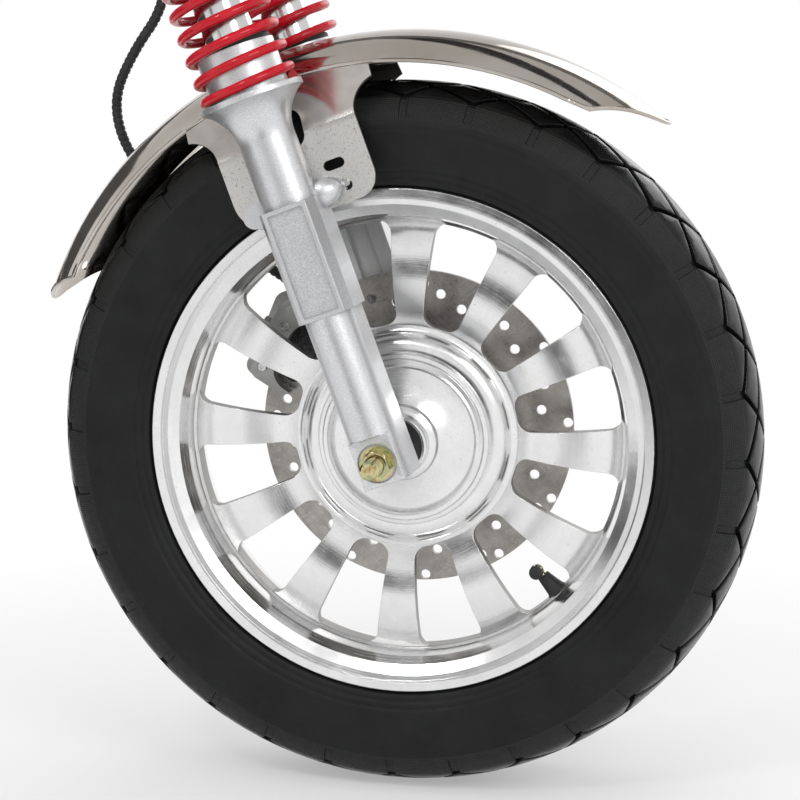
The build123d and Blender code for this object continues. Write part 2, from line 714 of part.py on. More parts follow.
WASHER_Y = PAD_Y - PAD_RING_DEPTH
NUT_Y = WASHER_Y + WASHER_THICKNESS
for side_name, sign in SIDES:
    with BuildPart() as axle_washer:
        with BuildSketch(side_plane(sign, WASHER_Y, NUT_Y)):
            Circle(WASHER_RADIUS)
            Circle(AXLE_RADIUS, mode=Mode.SUBTRACT)
        extrude(amount=WASHER_THICKNESS)
    axle_washer.part.label = f"axle_washer_{side_name}"
    export_step(axle_washer.part, f"parts/axle_washer_{side_name}.step")

    with BuildPart() as axle_nut:
        with BuildSketch(side_plane(sign, NUT_Y, NUT_Y + NUT_HEIGHT)):
            RegularPolygon(NUT_FLATS / 2, 6, major_radius=False)
            Circle(AXLE_RADIUS, mode=Mode.SUBTRACT)
        extrude(amount=NUT_HEIGHT)
    axle_nut.part.label = f"axle_nut_{side_name}"
    export_step(axle_nut.part, f"parts/axle_nut_{side_name}.step")

    with BuildPart() as hub_spacer:
        with BuildSketch(side_plane(sign, BEARING_OUTER_Y - BEARING_WIDTH, SHANK_INNER_Y)):
            Circle(SPACER_RADIUS)
            Circle(AXLE_RADIUS, mode=Mode.SUBTRACT)
        extrude(amount=SHANK_INNER_Y - BEARING_OUTER_Y + BEARING_WIDTH)
    hub_spacer.part.label = f"hub_spacer_{side_name}"
    export_step(hub_spacer.part, f"parts/hub_spacer_{side_name}.step")


# Wheel: rim with hub and spokes, tyre, disc, bearings and valve

VALVE_OUT = Vector(cos(radians(VALVE_ANGLE)), 0, sin(radians(VALVE_ANGLE)))

with BuildSketch() as spoke_window:
    with BuildLine():
        Polyline(
            (WINDOW_INNER_RADIUS, -WINDOW_INNER_HALF),
            (WINDOW_OUTER_RADIUS, -WINDOW_OUTER_HALF),
            (WINDOW_OUTER_RADIUS, WINDOW_OUTER_HALF),
            (WINDOW_INNER_RADIUS, WINDOW_INNER_HALF),
            close=True,
        )
    make_face()
    fillet(spoke_window.vertices(), WINDOW_CORNER)

with BuildPart() as wheel_rim:
    # Bowed web between hub and barrel
    with BuildSketch(WHEEL_SECTION):
        web_back = []
        for radius, y in SPOKE_FACE:
            web_back.append((radius, y + SPOKE_THICKNESS))
        with BuildLine():
            ThreePointArc(*SPOKE_FACE)
            ThreePointArc(*web_back)
            Line(SPOKE_FACE[0], web_back[0])
            Line(SPOKE_FACE[2], web_back[2])
        make_face()
    revolve(axis=SPIN_AXIS)
    # Windows that leave the spokes
    with BuildSketch(wheel_side(WINDOW_BACK_Y, SPOKE_PHASE + 180 / SPOKE_COUNT)):
        with PolarLocations(0, SPOKE_COUNT):
            add(spoke_window.sketch)
    extrude(amount=WINDOW_DEPTH, mode=Mode.SUBTRACT)
    # Rim barrel with flanges, bead seats and a dropped centre
    barrel_outline = list(RIM_SECTION)
    for radius, y in reversed(RIM_SECTION):
        barrel_outline.append((radius, -y))
    with BuildSketch(WHEEL_SECTION):
        with BuildLine():
            Polyline(*barrel_outline, close=True)
        make_face()
    revolve(axis=SPIN_AXIS)
    # Hub, turned
    with BuildSketch(WHEEL_SECTION):
        with BuildLine():
            ThreePointArc(*HUB_FOOT_ARC)
            ThreePointArc(*HUB_DOME_ARC)
            Polyline(*HUB_STEPS)
            ThreePointArc(*HUB_DISH_ARC)
            Polyline(
                *HUB_BOSS,
                (HUB_BORE_RADIUS, -HUB_END_Y),
                (HUB_BORE_RADIUS, HUB_END_Y),
                (HUB_END_RADIUS, HUB_END_Y),
                (DISC_BORE_RADIUS, HUB_END_Y - 3),
                (DISC_BORE_RADIUS, DISC_Y - DISC_THICKNESS / 2),
                *reversed(HUB_BACK),
                HUB_FOOT_ARC[0],
            )
        make_face()
    revolve(axis=SPIN_AXIS)
    # Bearing seats
    for y_end in (HUB_END_Y, BEARING_WIDTH - BEARING_OUTER_Y):
        with BuildSketch(wheel_side(y_end)):
            Circle(BEARING_RADIUS)
        extrude(amount=BEARING_WIDTH + HUB_END_Y - BEARING_OUTER_Y, mode=Mode.SUBTRACT)
    # Hole for the valve
    hole_foot = AXLE + VALVE_OUT * VALVE_HOLE_FROM
    with BuildSketch(Plane(origin=hole_foot, x_dir=(0, 1, 0), z_dir=VALVE_OUT)):
        Circle(VALVE_HOLE_RADIUS)
    extrude(amount=VALVE_HOLE_LENGTH, mode=Mode.SUBTRACT)
wheel_rim.part.label = "wheel_rim"
export_step(wheel_rim.part, "parts/wheel_rim.step")

with BuildPart() as tyre:
    with BuildSketch(WHEEL_SECTION):
        with BuildLine():
            half = TYRE_HALF_WIDTH
            ThreePointArc((225.0, -32), (TYRE_RADIUS, 0), (225.0, 32))
            ThreePointArc((225.0, 32), (213.0, 41.5), (199.0, half))
            ThreePointArc((199.0, half), (182.0, 42), (168.0, 36.0))
            Polyline((168.0, 36.0), (166.8, 32.4), (155.0, 31.3), (153.0, 29.0), (153.0, 20), (158.0, 20))
            ThreePointArc((158.0, 20), (199.0, 36.5), (219.0, 27))
            ThreePointArc((219.0, 27), (225.0, 0), (219.0, -27))
            ThreePointArc((219.0, -27), (199.0, -36.5), (158.0, -20))
            Polyline((158.0, -20), (153.0, -20), (153.0, -29.0), (155.0, -31.3), (166.8, -32.4), (168.0, -36.0))
            ThreePointArc((168.0, -36.0), (182.0, -42), (199.0, -half))
            ThreePointArc((199.0, -half), (213.0, -41.5), (225.0, -32))
        make_face()
    revolve(axis=SPIN_AXIS)
tyre.part.label = "tyre"
export_step(tyre.part, "parts/tyre.step")

with BuildPart() as brake_disc:
    with BuildSketch(wheel_side(DISC_Y + DISC_THICKNESS / 2)):
        Circle(DISC_RADIUS)
        Circle(DISC_BORE_RADIUS, mode=Mode.SUBTRACT)
        for hole_radius, hole_angle in DISC_HOLES:
            with PolarLocations(hole_radius, DISC_REPEATS, hole_angle):
                Circle(DISC_HOLE_RADIUS, mode=Mode.SUBTRACT)
    extrude(amount=DISC_THICKNESS)
brake_disc.part.label = "brake_disc"
export_step(brake_disc.part, "parts/brake_disc.step")

for side_name, sign in SIDES:
    with BuildPart() as bearing:
        with BuildSketch(side_plane(sign, BEARING_OUTER_Y - BEARING_WIDTH, BEARING_OUTER_Y)):
            Circle(BEARING_RADIUS)
            Circle(BEARING_BORE_RADIUS, mode=Mode.SUBTRACT)
        extrude(amount=BEARING_WIDTH)
    bearing.part.label = f"wheel_bearing_{side_name}"
    export_step(bearing.part, f"parts/wheel_bearing_{side_name}.step")

with BuildPart() as valve_stem:
    # Rubber foot and brass stem, pointing to the axle
    for from_radius, length, radius, taper in VALVE_STEPS:
        root = AXLE + VALVE_OUT * from_radius
        with BuildSketch(Plane(origin=root, x_dir=(0, 1, 0), z_dir=VALVE_OUT * -1)):
            Circle(radius)
        extrude(amount=length, taper=taper)
    # Elbow and cap, facing right
    for from_y, length, radius in VALVE_ELBOW:
        elbow = AXLE + VALVE_OUT * VALVE_ELBOW_RADIUS + LEFT * from_y
        with BuildSketch(Plane(origin=elbow, x_dir=(1, 0, 0), z_dir=(0, -1, 0))):
            Circle(radius)
        extrude(amount=length)
valve_stem.part.label = "valve_stem"
export_step(valve_stem.part, "parts/valve_stem.step")


# Disc brake: caliper, pads and bracket

with BuildPart() as brake_caliper:
    # Body, lower along its outer edge on the side that shows through the wheel
    for far_y, near_y, outer_radius in (
        (CALIPER_FAR_Y, CALIPER_STEP_Y, CALIPER_OUTER_RADIUS),
        (CALIPER_STEP_Y, CALIPER_NEAR_Y, CALIPER_STEP_RADIUS),
    ):
        with BuildSketch(wheel_side(far_y, CALIPER_ANGLE)):
            with Locations(((CALIPER_INNER_RADIUS + outer_radius) / 2, 0)):
                RectangleRounded(
                    outer_radius - CALIPER_INNER_RADIUS,
                    2 * CALIPER_HALF_LENGTH,
                    CALIPER_CORNER,
                )
        extrude(amount=far_y - near_y)
    # Slot that takes the disc and the pads
    slot_near_y = DISC_Y - CALIPER_SLOT_HALF
    with BuildSketch(wheel_side(DISC_Y + CALIPER_SLOT_HALF, CALIPER_ANGLE)):
        Circle(CALIPER_SLOT_RADIUS)
    extrude(amount=2 * CALIPER_SLOT_HALF, mode=Mode.SUBTRACT)
    # Round mouth in the near wall, with an arm on each side
    with BuildSketch(wheel_side(slot_near_y, CALIPER_ANGLE)):
        with Locations((MOUTH_RADIUS / 2, 0)):
            RectangleRounded(MOUTH_RADIUS, 2 * MOUTH_HALF_LENGTH, MOUTH_CORNER)
    extrude(amount=slot_near_y - CALIPER_NEAR_Y, mode=Mode.SUBTRACT)
brake_caliper.part.label = "brake_caliper"
export_step(brake_caliper.part, "parts/brake_caliper.step")

with BuildPart() as brake_pads:
    pad_face = DISC_THICKNESS / 2 + PAD_GAP
    for pad_y in (DISC_Y + pad_face + PAD_THICKNESS, DISC_Y - pad_face):
        with BuildSketch(wheel_side(pad_y, CALIPER_ANGLE)):
            with Locations((PAD_MIDDLE_RADIUS, 0)):
                RectangleRounded(PAD_HEIGHT, PAD_LENGTH, PAD_CORNER)
        extrude(amount=PAD_THICKNESS)
brake_pads.part.label = "brake_pads"
export_step(brake_pads.part, "parts/brake_pads.step")

with BuildPart() as caliper_bracket:
    with BuildSketch(fork_side(BRACKET_FAR_Y)):
        with BuildSketch(mode=Mode.PRIVATE) as bracket_outline:
            for t, s, radius in CALIPER_BRACKET_CORNERS:
                with Locations((t, s)):
                    Circle(radius)
            make_hull()
        add(bracket_outline.sketch)
    extrude(amount=BRACKET_FAR_Y - CALIPER_FAR_Y)
caliper_bracket.part.label = "caliper_bracket"
export_step(caliper_bracket.part, "parts/caliper_bracket.step")


# Mudguard and its brackets

GUARD_CENTRE = AXLE + Vector(GUARD_CENTRE_X, 0, GUARD_CENTRE_Z)


def guard_section(angle):
    """A plane through the mudguard's centre, with its radius and y as directions."""
    out = Vector(cos(radians(angle)), 0, sin(radians(angle)))
    return Plane(origin=GUARD_CENTRE, x_dir=out, z_dir=(-out.Z, 0, out.X))


with BuildPart() as mudguard:
    # Thin arched section: crown, shoulders and a rolled edge turned outwards on each side
    with BuildSketch(guard_section(GUARD_FRONT_ANGLE - GUARD_SPARE_ANGLE)):
        with BuildLine():
            for shift, inset in ((0, 0), (GUARD_SHEET, GUARD_FOLD_INSET)):
                crown_top = (GUARD_CROWN_RADIUS - shift, 0)
                fold_radius = GUARD_EDGE_RADIUS - shift
                shoulder_radius = GUARD_SHOULDER_RADIUS - shift
                shoulder_y = GUARD_SHOULDER_Y - inset
                ends = ((shoulder_radius, -shoulder_y), (shoulder_radius, shoulder_y))
                arch = ThreePointArc(ends[0], crown_top, ends[1])
                TangentArc(ends[0], (fold_radius, inset - GUARD_RIDGE_Y), tangent=arch % 0 * -1)
                TangentArc(ends[1], (fold_radius, GUARD_RIDGE_Y - inset), tangent=arch % 1)
            for way in (1, -1):
                Polyline(
                    (GUARD_EDGE_RADIUS, way * GUARD_RIDGE_Y),
                    (GUARD_EDGE_RADIUS - GUARD_LIP_DROP, way * GUARD_HALF_WIDTH),
                    (GUARD_EDGE_RADIUS - GUARD_LIP_DROP - GUARD_SHEET, way * GUARD_HALF_WIDTH),
                    (GUARD_EDGE_RADIUS - GUARD_SHEET, way * (GUARD_RIDGE_Y - GUARD_FOLD_INSET)),
                )
        make_face()
    spread = GUARD_REAR_ANGLE - GUARD_FRONT_ANGLE + 2 * GUARD_SPARE_ANGLE
    revolve(axis=Axis(GUARD_CENTRE, (0, -1, 0)), revolution_arc=spread)
    # Hole near the rear tip
    out = Vector(cos(radians(GUARD_HOLE_ANGLE)), 0, sin(radians(GUARD_HOLE_ANGLE)))
    with BuildSketch(Plane(origin=GUARD_CENTRE + out * 240 + LEFT * GUARD_HOLE_Y, x_dir=LEFT, z_dir=out)):
        Circle(GUARD_HOLE_RADIUS)
    extrude(amount=25, mode=Mode.SUBTRACT)
    # Ends narrowed to rounded points
    for tip_angle, way, length, flank_back, flank_half in GUARD_NOSES:
        out = Vector(cos(radians(tip_angle)), 0, sin(radians(tip_angle)))
        onward = Vector(-way * out.Z, 0, way * out.X)
        corner = GUARD_HALF_WIDTH + 1
        clear = GUARD_HALF_WIDTH + 15
        with BuildSketch(Plane(origin=GUARD_CENTRE + out * 200, x_dir=onward, z_dir=out)):
            with BuildLine():
                ThreePointArc((-length, -corner), (-flank_back, -flank_half), (-GUARD_NOSE_BACK, -GUARD_NOSE_HALF))
                ThreePointArc((-GUARD_NOSE_BACK, -GUARD_NOSE_HALF), (0, 0), (-GUARD_NOSE_BACK, GUARD_NOSE_HALF))
                ThreePointArc((-GUARD_NOSE_BACK, GUARD_NOSE_HALF), (-flank_back, flank_half), (-length, corner))
                Polyline(
                    (-length, corner),
                    (-length, clear),
                    (clear, clear),
                    (clear, -clear),
                    (-length, -clear),
                    (-length, -corner),
                )
            make_face()
        extrude(amount=80, mode=Mode.SUBTRACT)
mudguard.part.label = "mudguard"
export_step(mudguard.part, "parts/mudguard.step")

for side_name, sign in SIDES:
    middle_t = (BRACKET_FRONT_T + BRACKET_REAR_T) / 2
    half_t = (BRACKET_FRONT_T - BRACKET_REAR_T) / 2
    rise = BRACKET_TOP_S - BRACKET_BEND_S
    lean = SHANK_INNER_Y - BRACKET_TOP_Y
    upward = (UP_LEG * rise - LEFT * (sign * lean)).normalized()
    leaf_height = 1.3 * sqrt(rise**2 + lean**2)
    flare_rise = sqrt(BRACKET_FLARE_RADIUS**2 - (BRACKET_FLARE_RADIUS - BRACKET_FLARE) ** 2)
    with BuildPart() as guard_bracket:
        # Flat foot, bolted to the slider's lugs
        with BuildSketch(side_plane(sign, SHANK_INNER_Y - BRACKET_SHEET, SHANK_INNER_Y)):
            with BuildLine():
                FilletPolyline(
                    (BRACKET_REAR_T, BRACKET_BEND_S),
                    (BRACKET_REAR_T, BRACKET_BOTTOM_S),
                    (BRACKET_FRONT_T, BRACKET_BOTTOM_S),
                    (BRACKET_FRONT_T, BRACKET_BEND_S),
                    radius=(BRACKET_REAR_CORNER, BRACKET_FRONT_CORNER),
                )
                Line((BRACKET_FRONT_T, BRACKET_BEND_S), (BRACKET_REAR_T, BRACKET_BEND_S))
            make_face()
            with Locations(*BRACKET_SLOTS):
                SlotOverall(BRACKET_SLOT_LENGTH, BRACKET_SLOT_WIDTH, mode=Mode.SUBTRACT)
        extrude(amount=BRACKET_SHEET)
        # Leaf that leans in and flares out to the mudguard's edge
        leaf = Plane(
            origin=fork_point(middle_t, sign * SHANK_INNER_Y, BRACKET_BEND_S),
            x_dir=FORWARD,
            z_dir=FORWARD.cross(upward),
        )
        reach = half_t + BRACKET_FLARE
        with BuildSketch(leaf):
            with BuildLine():
                Line((-half_t, 0), (half_t, 0))
                RadiusArc((half_t, 0), (reach, flare_rise), BRACKET_FLARE_RADIUS)
                Polyline(
                    (reach, flare_rise),
                    (reach, leaf_height),
                    (-reach, leaf_height),
                    (-reach, flare_rise),
                )
                RadiusArc((-reach, flare_rise), (-half_t, 0), BRACKET_FLARE_RADIUS)
            make_face()
        extrude(amount=sign * BRACKET_SHEET)
        # Window over the bend, behind the slider
        with BuildSketch(fork_side(80)):
            with Locations((BRACKET_WINDOW_T, BRACKET_WINDOW_S)):
                RectangleRounded(BRACKET_WINDOW_WIDTH, BRACKET_WINDOW_HEIGHT, BRACKET_WINDOW_CORNER)
        extrude(amount=160, mode=Mode.SUBTRACT)
        # Top edge cut to the curve of the mudguard's rolled edge
        with BuildSketch(Plane(origin=GUARD_CENTRE + LEFT * 80, x_dir=(1, 0, 0), z_dir=(0, -1, 0))):
            Circle(GUARD_CROWN_RADIUS + 40)
            Circle(BRACKET_TRIM_RADIUS, mode=Mode.SUBTRACT)
        extrude(amount=160, mode=Mode.SUBTRACT)
    guard_bracket.part.label = f"mudguard_bracket_{side_name}"
    export_step(guard_bracket.part, f"parts/mudguard_bracket_{side_name}.step")


# Brake hose with its banjo, its clip on the crown and its upper fitting

CALIPER_OUT = Vector(cos(radians(CALIPER_ANGLE)), 0, sin(radians(CALIPER_ANGLE)))
CALIPER_ALONG = Vector(sin(radians(CALIPER_ANGLE)), 0, -cos(radians(CALIPER_ANGLE)))
BANJO_SEAT = (
    AXLE
    + CALIPER_OUT * BANJO_CENTRE_RADIUS
    + CALIPER_ALONG * CALIPER_HALF_LENGTH
    + LEFT * BANJO_Y
)
BANJO_MIDDLE = BANJO_SEAT + CALIPER_ALONG * (BANJO_HEIGHT / 2)
BANJO_TOP = BANJO_SEAT + CALIPER_ALONG * BANJO_HEIGHT
HOSE_START = BANJO_MIDDLE + CALIPER_OUT * BANJO_NECK_LENGTH

with BuildPart() as hose_banjo:
    with BuildSketch(Plane(origin=BANJO_SEAT, x_dir=CALIPER_OUT, z_dir=CALIPER_ALONG)):
        Circle(BANJO_RADIUS)
    extrude(amount=BANJO_HEIGHT)
    with BuildSketch(Plane(origin=BANJO_MIDDLE, x_dir=LEFT, z_dir=CALIPER_OUT)):
        Circle(BANJO_NECK_RADIUS)
    extrude(amount=BANJO_NECK_LENGTH)
    with BuildSketch(Plane(origin=BANJO_TOP, x_dir=CALIPER_OUT, z_dir=CALIPER_ALONG)):
        RegularPolygon(BANJO_BOLT_FLATS / 2, 6, major_radius=False)
    extrude(amount=BANJO_BOLT_HEIGHT)
hose_banjo.part.label = "hose_banjo"
export_step(hose_banjo.part, "parts/hose_banjo.step")

hose_points = [HOSE_START, HOSE_START + CALIPER_OUT * HOSE_FIRST_RUN]
for x, y, z in HOSE_ROUTE:
    hose_points.append(AXLE + Vector(x, y, z))
hose_points.append(fork_point(HOSE_TOP_T, HOSE_TOP_Y, 420))
hose_end = fork_point(HOSE_TOP_T, HOSE_TOP_Y, HOSE_TOP_S)
hose_points.append(hose_end)

hose_radii = []
for before, corner, after in zip(hose_points, hose_points[1:], hose_points[2:]):
    turn = (corner - before).get_angle(after - corner)
    shorter_run = min((corner - before).length, (after - corner).length)
    hose_radii.append(0.45 * shorter_run / tan(radians(turn / 2)))
print("hose arcs", [round(radius) for radius in hose_radii])

with BuildPart() as brake_hose:
    with BuildLine():
        hose_path = FilletPolyline(*hose_points, radius=hose_radii)
    with BuildSketch(Plane(origin=hose_path @ 0, z_dir=hose_path % 0)):
        Circle(HOSE_RADIUS)
    sweep(path=hose_path)
print("hose length", round(hose_path.length), "volume", round(brake_hose.part.volume))
brake_hose.part.label = "brake_hose"
export_step(brake_hose.part, "parts/brake_hose.step")

with BuildPart() as hose_clip:
    with BuildSketch(fork_level(HOSE_CLIP_S)):
        with Locations((HOSE_TOP_T, HOSE_TOP_Y)):
            Circle(HOSE_RADIUS + 2)
            with Locations((8, 0)):
                Rectangle(12, 8)
            Circle(HOSE_RADIUS, mode=Mode.SUBTRACT)
        add(crown_outline(), mode=Mode.SUBTRACT)
    extrude(amount=12)
hose_clip.part.label = "hose_clip"
export_step(hose_clip.part, "parts/hose_clip.step")

with BuildPart() as hose_fitting:
    with BuildSketch(fork_level(HOSE_TOP_S, HOSE_TOP_T, HOSE_TOP_Y)):
        RegularPolygon(5.5, 6, major_radius=False)
    extrude(amount=14)
    with BuildSketch(fork_level(HOSE_TOP_S + 14, HOSE_TOP_T, HOSE_TOP_Y)):
        Circle(3.5)
    extrude(amount=8)
hose_fitting.part.label = "hose_fitting"
export_step(hose_fitting.part, "parts/hose_fitting.step")
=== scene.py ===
from math import atan2, cos, degrees, pi, radians, sin, sqrt

import bmesh
import bpy
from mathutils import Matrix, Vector


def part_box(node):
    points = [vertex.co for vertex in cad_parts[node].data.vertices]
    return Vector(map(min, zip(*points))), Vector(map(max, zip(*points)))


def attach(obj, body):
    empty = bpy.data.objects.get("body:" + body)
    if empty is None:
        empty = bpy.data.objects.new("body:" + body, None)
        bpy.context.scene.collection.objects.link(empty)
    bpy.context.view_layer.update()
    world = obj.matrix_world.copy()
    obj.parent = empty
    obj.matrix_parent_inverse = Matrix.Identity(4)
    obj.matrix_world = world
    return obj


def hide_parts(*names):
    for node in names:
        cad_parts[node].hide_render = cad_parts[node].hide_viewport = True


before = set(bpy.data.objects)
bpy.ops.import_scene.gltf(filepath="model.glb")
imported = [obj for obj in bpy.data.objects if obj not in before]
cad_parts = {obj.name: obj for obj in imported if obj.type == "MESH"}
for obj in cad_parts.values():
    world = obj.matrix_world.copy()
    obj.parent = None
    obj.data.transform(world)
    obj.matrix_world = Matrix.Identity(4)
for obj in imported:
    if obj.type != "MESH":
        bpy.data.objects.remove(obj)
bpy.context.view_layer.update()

# Front fork and wheel of an electric tricycle, in metres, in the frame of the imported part.
# +X points forwards, +Y to the rider's left and +Z up. Places on the fork are counted from
# the axle: t forwards and square to the legs, y to the left, s upwards along the legs.

MM = 0.001
RAKE = 20.3
AXLE_LOW, AXLE_HIGH = (Vector(corner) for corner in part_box("axle"))
AXLE = (AXLE_LOW + AXLE_HIGH) / 2
UP_LEG = Vector((-sin(radians(RAKE)), 0, cos(radians(RAKE))))
FORWARD = Vector((cos(radians(RAKE)), 0, sin(radians(RAKE))))
LEFT = Vector((0, 1, 0))
SIDES = (("left", 1), ("right", -1))
# Fold of the mudguard's brackets above the axle, and half of its bend, in metres
BRACKET_FOLD_S, BRACKET_FOLD_HALF = 0.2085, 0.004


def fork_point(t, y, s):
    """A place on the fork, given in millimetres from the axle."""
    return AXLE + (FORWARD * t + LEFT * y + UP_LEG * s) * MM


def wheel_point(radius, angle, y):
    """A place on the wheel, given in millimetres and degrees from the axle."""
    out = Vector((cos(radians(angle)), 0, sin(radians(angle))))
    return AXLE + (out * radius + LEFT * y) * MM


# Node-built materials


def feed(tree, socket, value):
    """Puts a value or another node's output into a socket."""
    if isinstance(value, bpy.types.NodeSocket):
        tree.links.new(value, socket)
    else:
        socket.default_value = value


def add_node(tree, kind, inputs=None, **settings):
    """A new node with its settings, and its inputs given as values or as outputs."""
    made = tree.nodes.new("ShaderNode" + kind)
    for name, value in settings.items():
        setattr(made, name, value)
    for name, value in (inputs or {}).items():
        feed(tree, made.inputs[name], value)
    return made


class Surface:
    """A material whose colour, roughness and relief are put together from nodes."""

    def __init__(self, name, **sockets):
        self.material = bpy.data.materials.new(name)
        self.material.use_nodes = True
        self.tree = self.material.node_tree
        self.shader = self.tree.nodes["Principled BSDF"]
        self.place = self.tree.nodes.new("ShaderNodeTexCoord").outputs["Object"]
        for socket, value in sockets.items():
            self.shader.inputs[socket.replace("_", " ")].default_value = value

    def node(self, kind, inputs=None, **settings):
        return add_node(self.tree, kind, inputs, **settings)

    def feed(self, socket, value):
        feed(self.tree, socket, value)

    def math(self, operation, *values):
        """The result of one Math node."""
        made = self.node("Math", operation=operation)
        for socket, value in zip(made.inputs, values):
            self.feed(socket, value)
        return made.outputs[0]

    def noise(self, scale, detail=3.0, roughness=0.5, stretch=(1, 1, 1), place=None):
        """Noise from 0 to 1, its scale in cells per metre."""
        mapped = self.node("Mapping", {"Vector": place or self.place, "Scale": stretch}).outputs[0]
        inputs = {"Vector": mapped, "Scale": scale, "Detail": detail, "Roughness": roughness}
        return self.node("TexNoise", inputs).outputs[0]

    def ramp(self, value, *stops):
        """A colour ramp, each stop a position with a colour or a grey."""
        made = self.node("ValToRGB", {"Fac": value})
        points = made.color_ramp.elements
        points.remove(points[1])
        points[0].position = stops[0][0]
        for position, _ in stops[1:]:
            points.new(position)
        for point, (_, shade) in zip(points, stops):
            point.color = (*shade, 1) if isinstance(shade, tuple) else (shade, shade, shade, 1)
        return made.outputs[0]

    def span(self, value, low, high, out_low, out_high):
        """A value mapped from one range to another, clamped."""
        ends = {"From Min": low, "From Max": high, "To Min": out_low, "To Max": out_high}
        return self.node("MapRange", {"Value": value, **ends}).outputs[0]

    def mix(self, factor, first, second):
        """One colour blended into another."""
        made = self.node("Mix", data_type="RGBA")
        self.feed(made.inputs["Factor"], factor)
        for socket, shade in ((made.inputs["A"], first), (made.inputs["B"], second)):
            sockets = [s for s in made.inputs if s.name == socket.name and s.type == "RGBA"]
            self.feed(sockets[0], (*shade, 1) if isinstance(shade, tuple) else shade)
        return [out for out in made.outputs if out.type == "RGBA"][0]

    def from_axle(self):
        """Place counted from the axle, in metres."""
        return self.node("Mapping", {"Vector": self.place, "Location": -AXLE}).outputs[0]

    def wheel_radius(self):
        """Distance from the wheel's axis, in metres."""
        parts = self.node("SeparateXYZ", {"Vector": self.from_axle()}).outputs
        squares = [self.math("MULTIPLY", parts[k], parts[k]) for k in ("X", "Z")]
        return self.math("SQRT", self.math("ADD", *squares))

    def wheel_distance(self):
        """Distance from the wheel's middle, in metres."""
        return self.node("VectorMath", {0: self.from_axle()}, operation="LENGTH").outputs["Value"]

    def wheel_angle(self):
        """Angle about the wheel's axis, in radians."""
        parts = self.node("SeparateXYZ", {"Vector": self.from_axle()}).outputs
        return self.math("ARCTAN2", parts["Z"], parts["X"])

    def leg_height(self):
        """Height above the axle along the legs, in metres."""
        along = self.node("VectorMath", {0: self.from_axle(), 1: UP_LEG}, operation="DOT_PRODUCT")
        return along.outputs["Value"]

    def scratches(self, angle):
        """Fine scratches square to the wheel's axis, turned by an angle in degrees."""
        turn = (0, radians(angle), 0)
        turned_place = self.node("Mapping", {"Vector": self.place, "Rotation": turn}).outputs[0]
        return self.noise(900, 2, 0.6, stretch=(0.05, 1, 1), place=turned_place)

    def colour(self, value):
        self.feed(self.shader.inputs["Base Color"], value)

    def roughness(self, value):
        self.feed(self.shader.inputs["Roughness"], value)

    def sideways(self):
        """How far the surface faces along the piece's own Y axis, from 0 to 1."""
        normal = {"Vector": self.node("NewGeometry").outputs["Normal"]}
        spaces = {"vector_type": "NORMAL", "convert_from": "WORLD", "convert_to": "OBJECT"}
        own = self.node("VectorTransform", normal, **spaces)
        parts = self.node("SeparateXYZ", {"Vector": own.outputs[0]})
        return self.math("ABSOLUTE", parts.outputs["Y"])

    def rounded_edges(self, radius):
        """Lets sharp edges catch the light as if rounded by a radius in metres."""
        rounded = self.node("Bevel", {"Radius": radius}, samples=4)
        self.feed(self.shader.inputs["Normal"], rounded.outputs[0])

    def shaded_in_corners(self, colour, distance):
        """A colour with painted shade, darkened in the corners between faces where shade falls."""
        corners = self.node("AmbientOcclusion", {"Distance": distance}, samples=4, only_local=True)
        # Share of painted shade: more where ambient occlusion finds a corner close by
        corner_shade = self.span(corners.outputs["AO"], 0.45, 0.95, 0.45, 0.0)
        return self.mix(corner_shade, colour, (0.12, 0.12, 0.125))

    def relief(self, height, distance):
        """Raises the surface by a height from 0 to 1 over a distance in metres."""
        bump = self.node("Bump", {"Height": height, "Distance": distance, "Strength": 1.0})
        earlier = self.shader.inputs["Normal"].links
        if earlier:
            self.feed(bump.inputs["Normal"], earlier[0].from_socket)
        self.feed(self.shader.inputs["Normal"], bump.outputs[0])


def silver_paint():
    """Satin silver paint over cast aluminium, with metal flakes and painted shade in its corners."""
    made = Surface("silver_paint", Metallic=0.85, Coat_Weight=0.15, Coat_Roughness=0.3)
    made.rounded_edges(0.0009)
    flakes = made.noise(1500, 2, 0.6)
    drift = made.span(made.noise(24, 4), 0.3, 0.7, 0.2, 0.6)
    sparkle = made.ramp(flakes, (0.32, (0.5, 0.505, 0.52)), (0.68, (0.9, 0.9, 0.91)))
    # Painted shade: the paint's colour is darkened in its corners by an ambient occlusion node
    made.colour(made.shaded_in_corners(made.mix(drift, sparkle, (0.7, 0.705, 0.72)), 0.005))
    made.roughness(made.span(made.noise(70, 4), 0.3, 0.7, 0.3, 0.38))
    made.relief(flakes, 0.00008)
    made.relief(made.noise(420, 3), 0.00008)
    return made.material


def chrome_plate():
    """Hard chrome with faint smears."""
    made = Surface("chrome_plate", Metallic=1.0)
    made.colour(made.ramp(made.noise(30, 3), (0.3, 0.64), (0.7, 0.76)))
    made.roughness(made.span(made.noise(160, 5), 0.35, 0.75, 0.12, 0.22))
    return made.material


def stainless_sheet():
    """Polished stainless sheet with fine lengthwise scratches and a warm tarnish."""
    made = Surface("stainless_sheet", Metallic=1.0)
    tarnish = made.noise(16, 5)
    tints = ((0.3, (0.44, 0.395, 0.35)), (0.55, (0.52, 0.475, 0.43)), (0.75, (0.6, 0.58, 0.56)))
    made.colour(made.ramp(tarnish, *tints))
    scratches = made.noise(900, 2, 0.6, stretch=(0.06, 1, 0.06))
    made.roughness(made.span(scratches, 0.4, 0.8, 0.06, 0.2))
    made.relief(scratches, 0.00001)
    return made.material


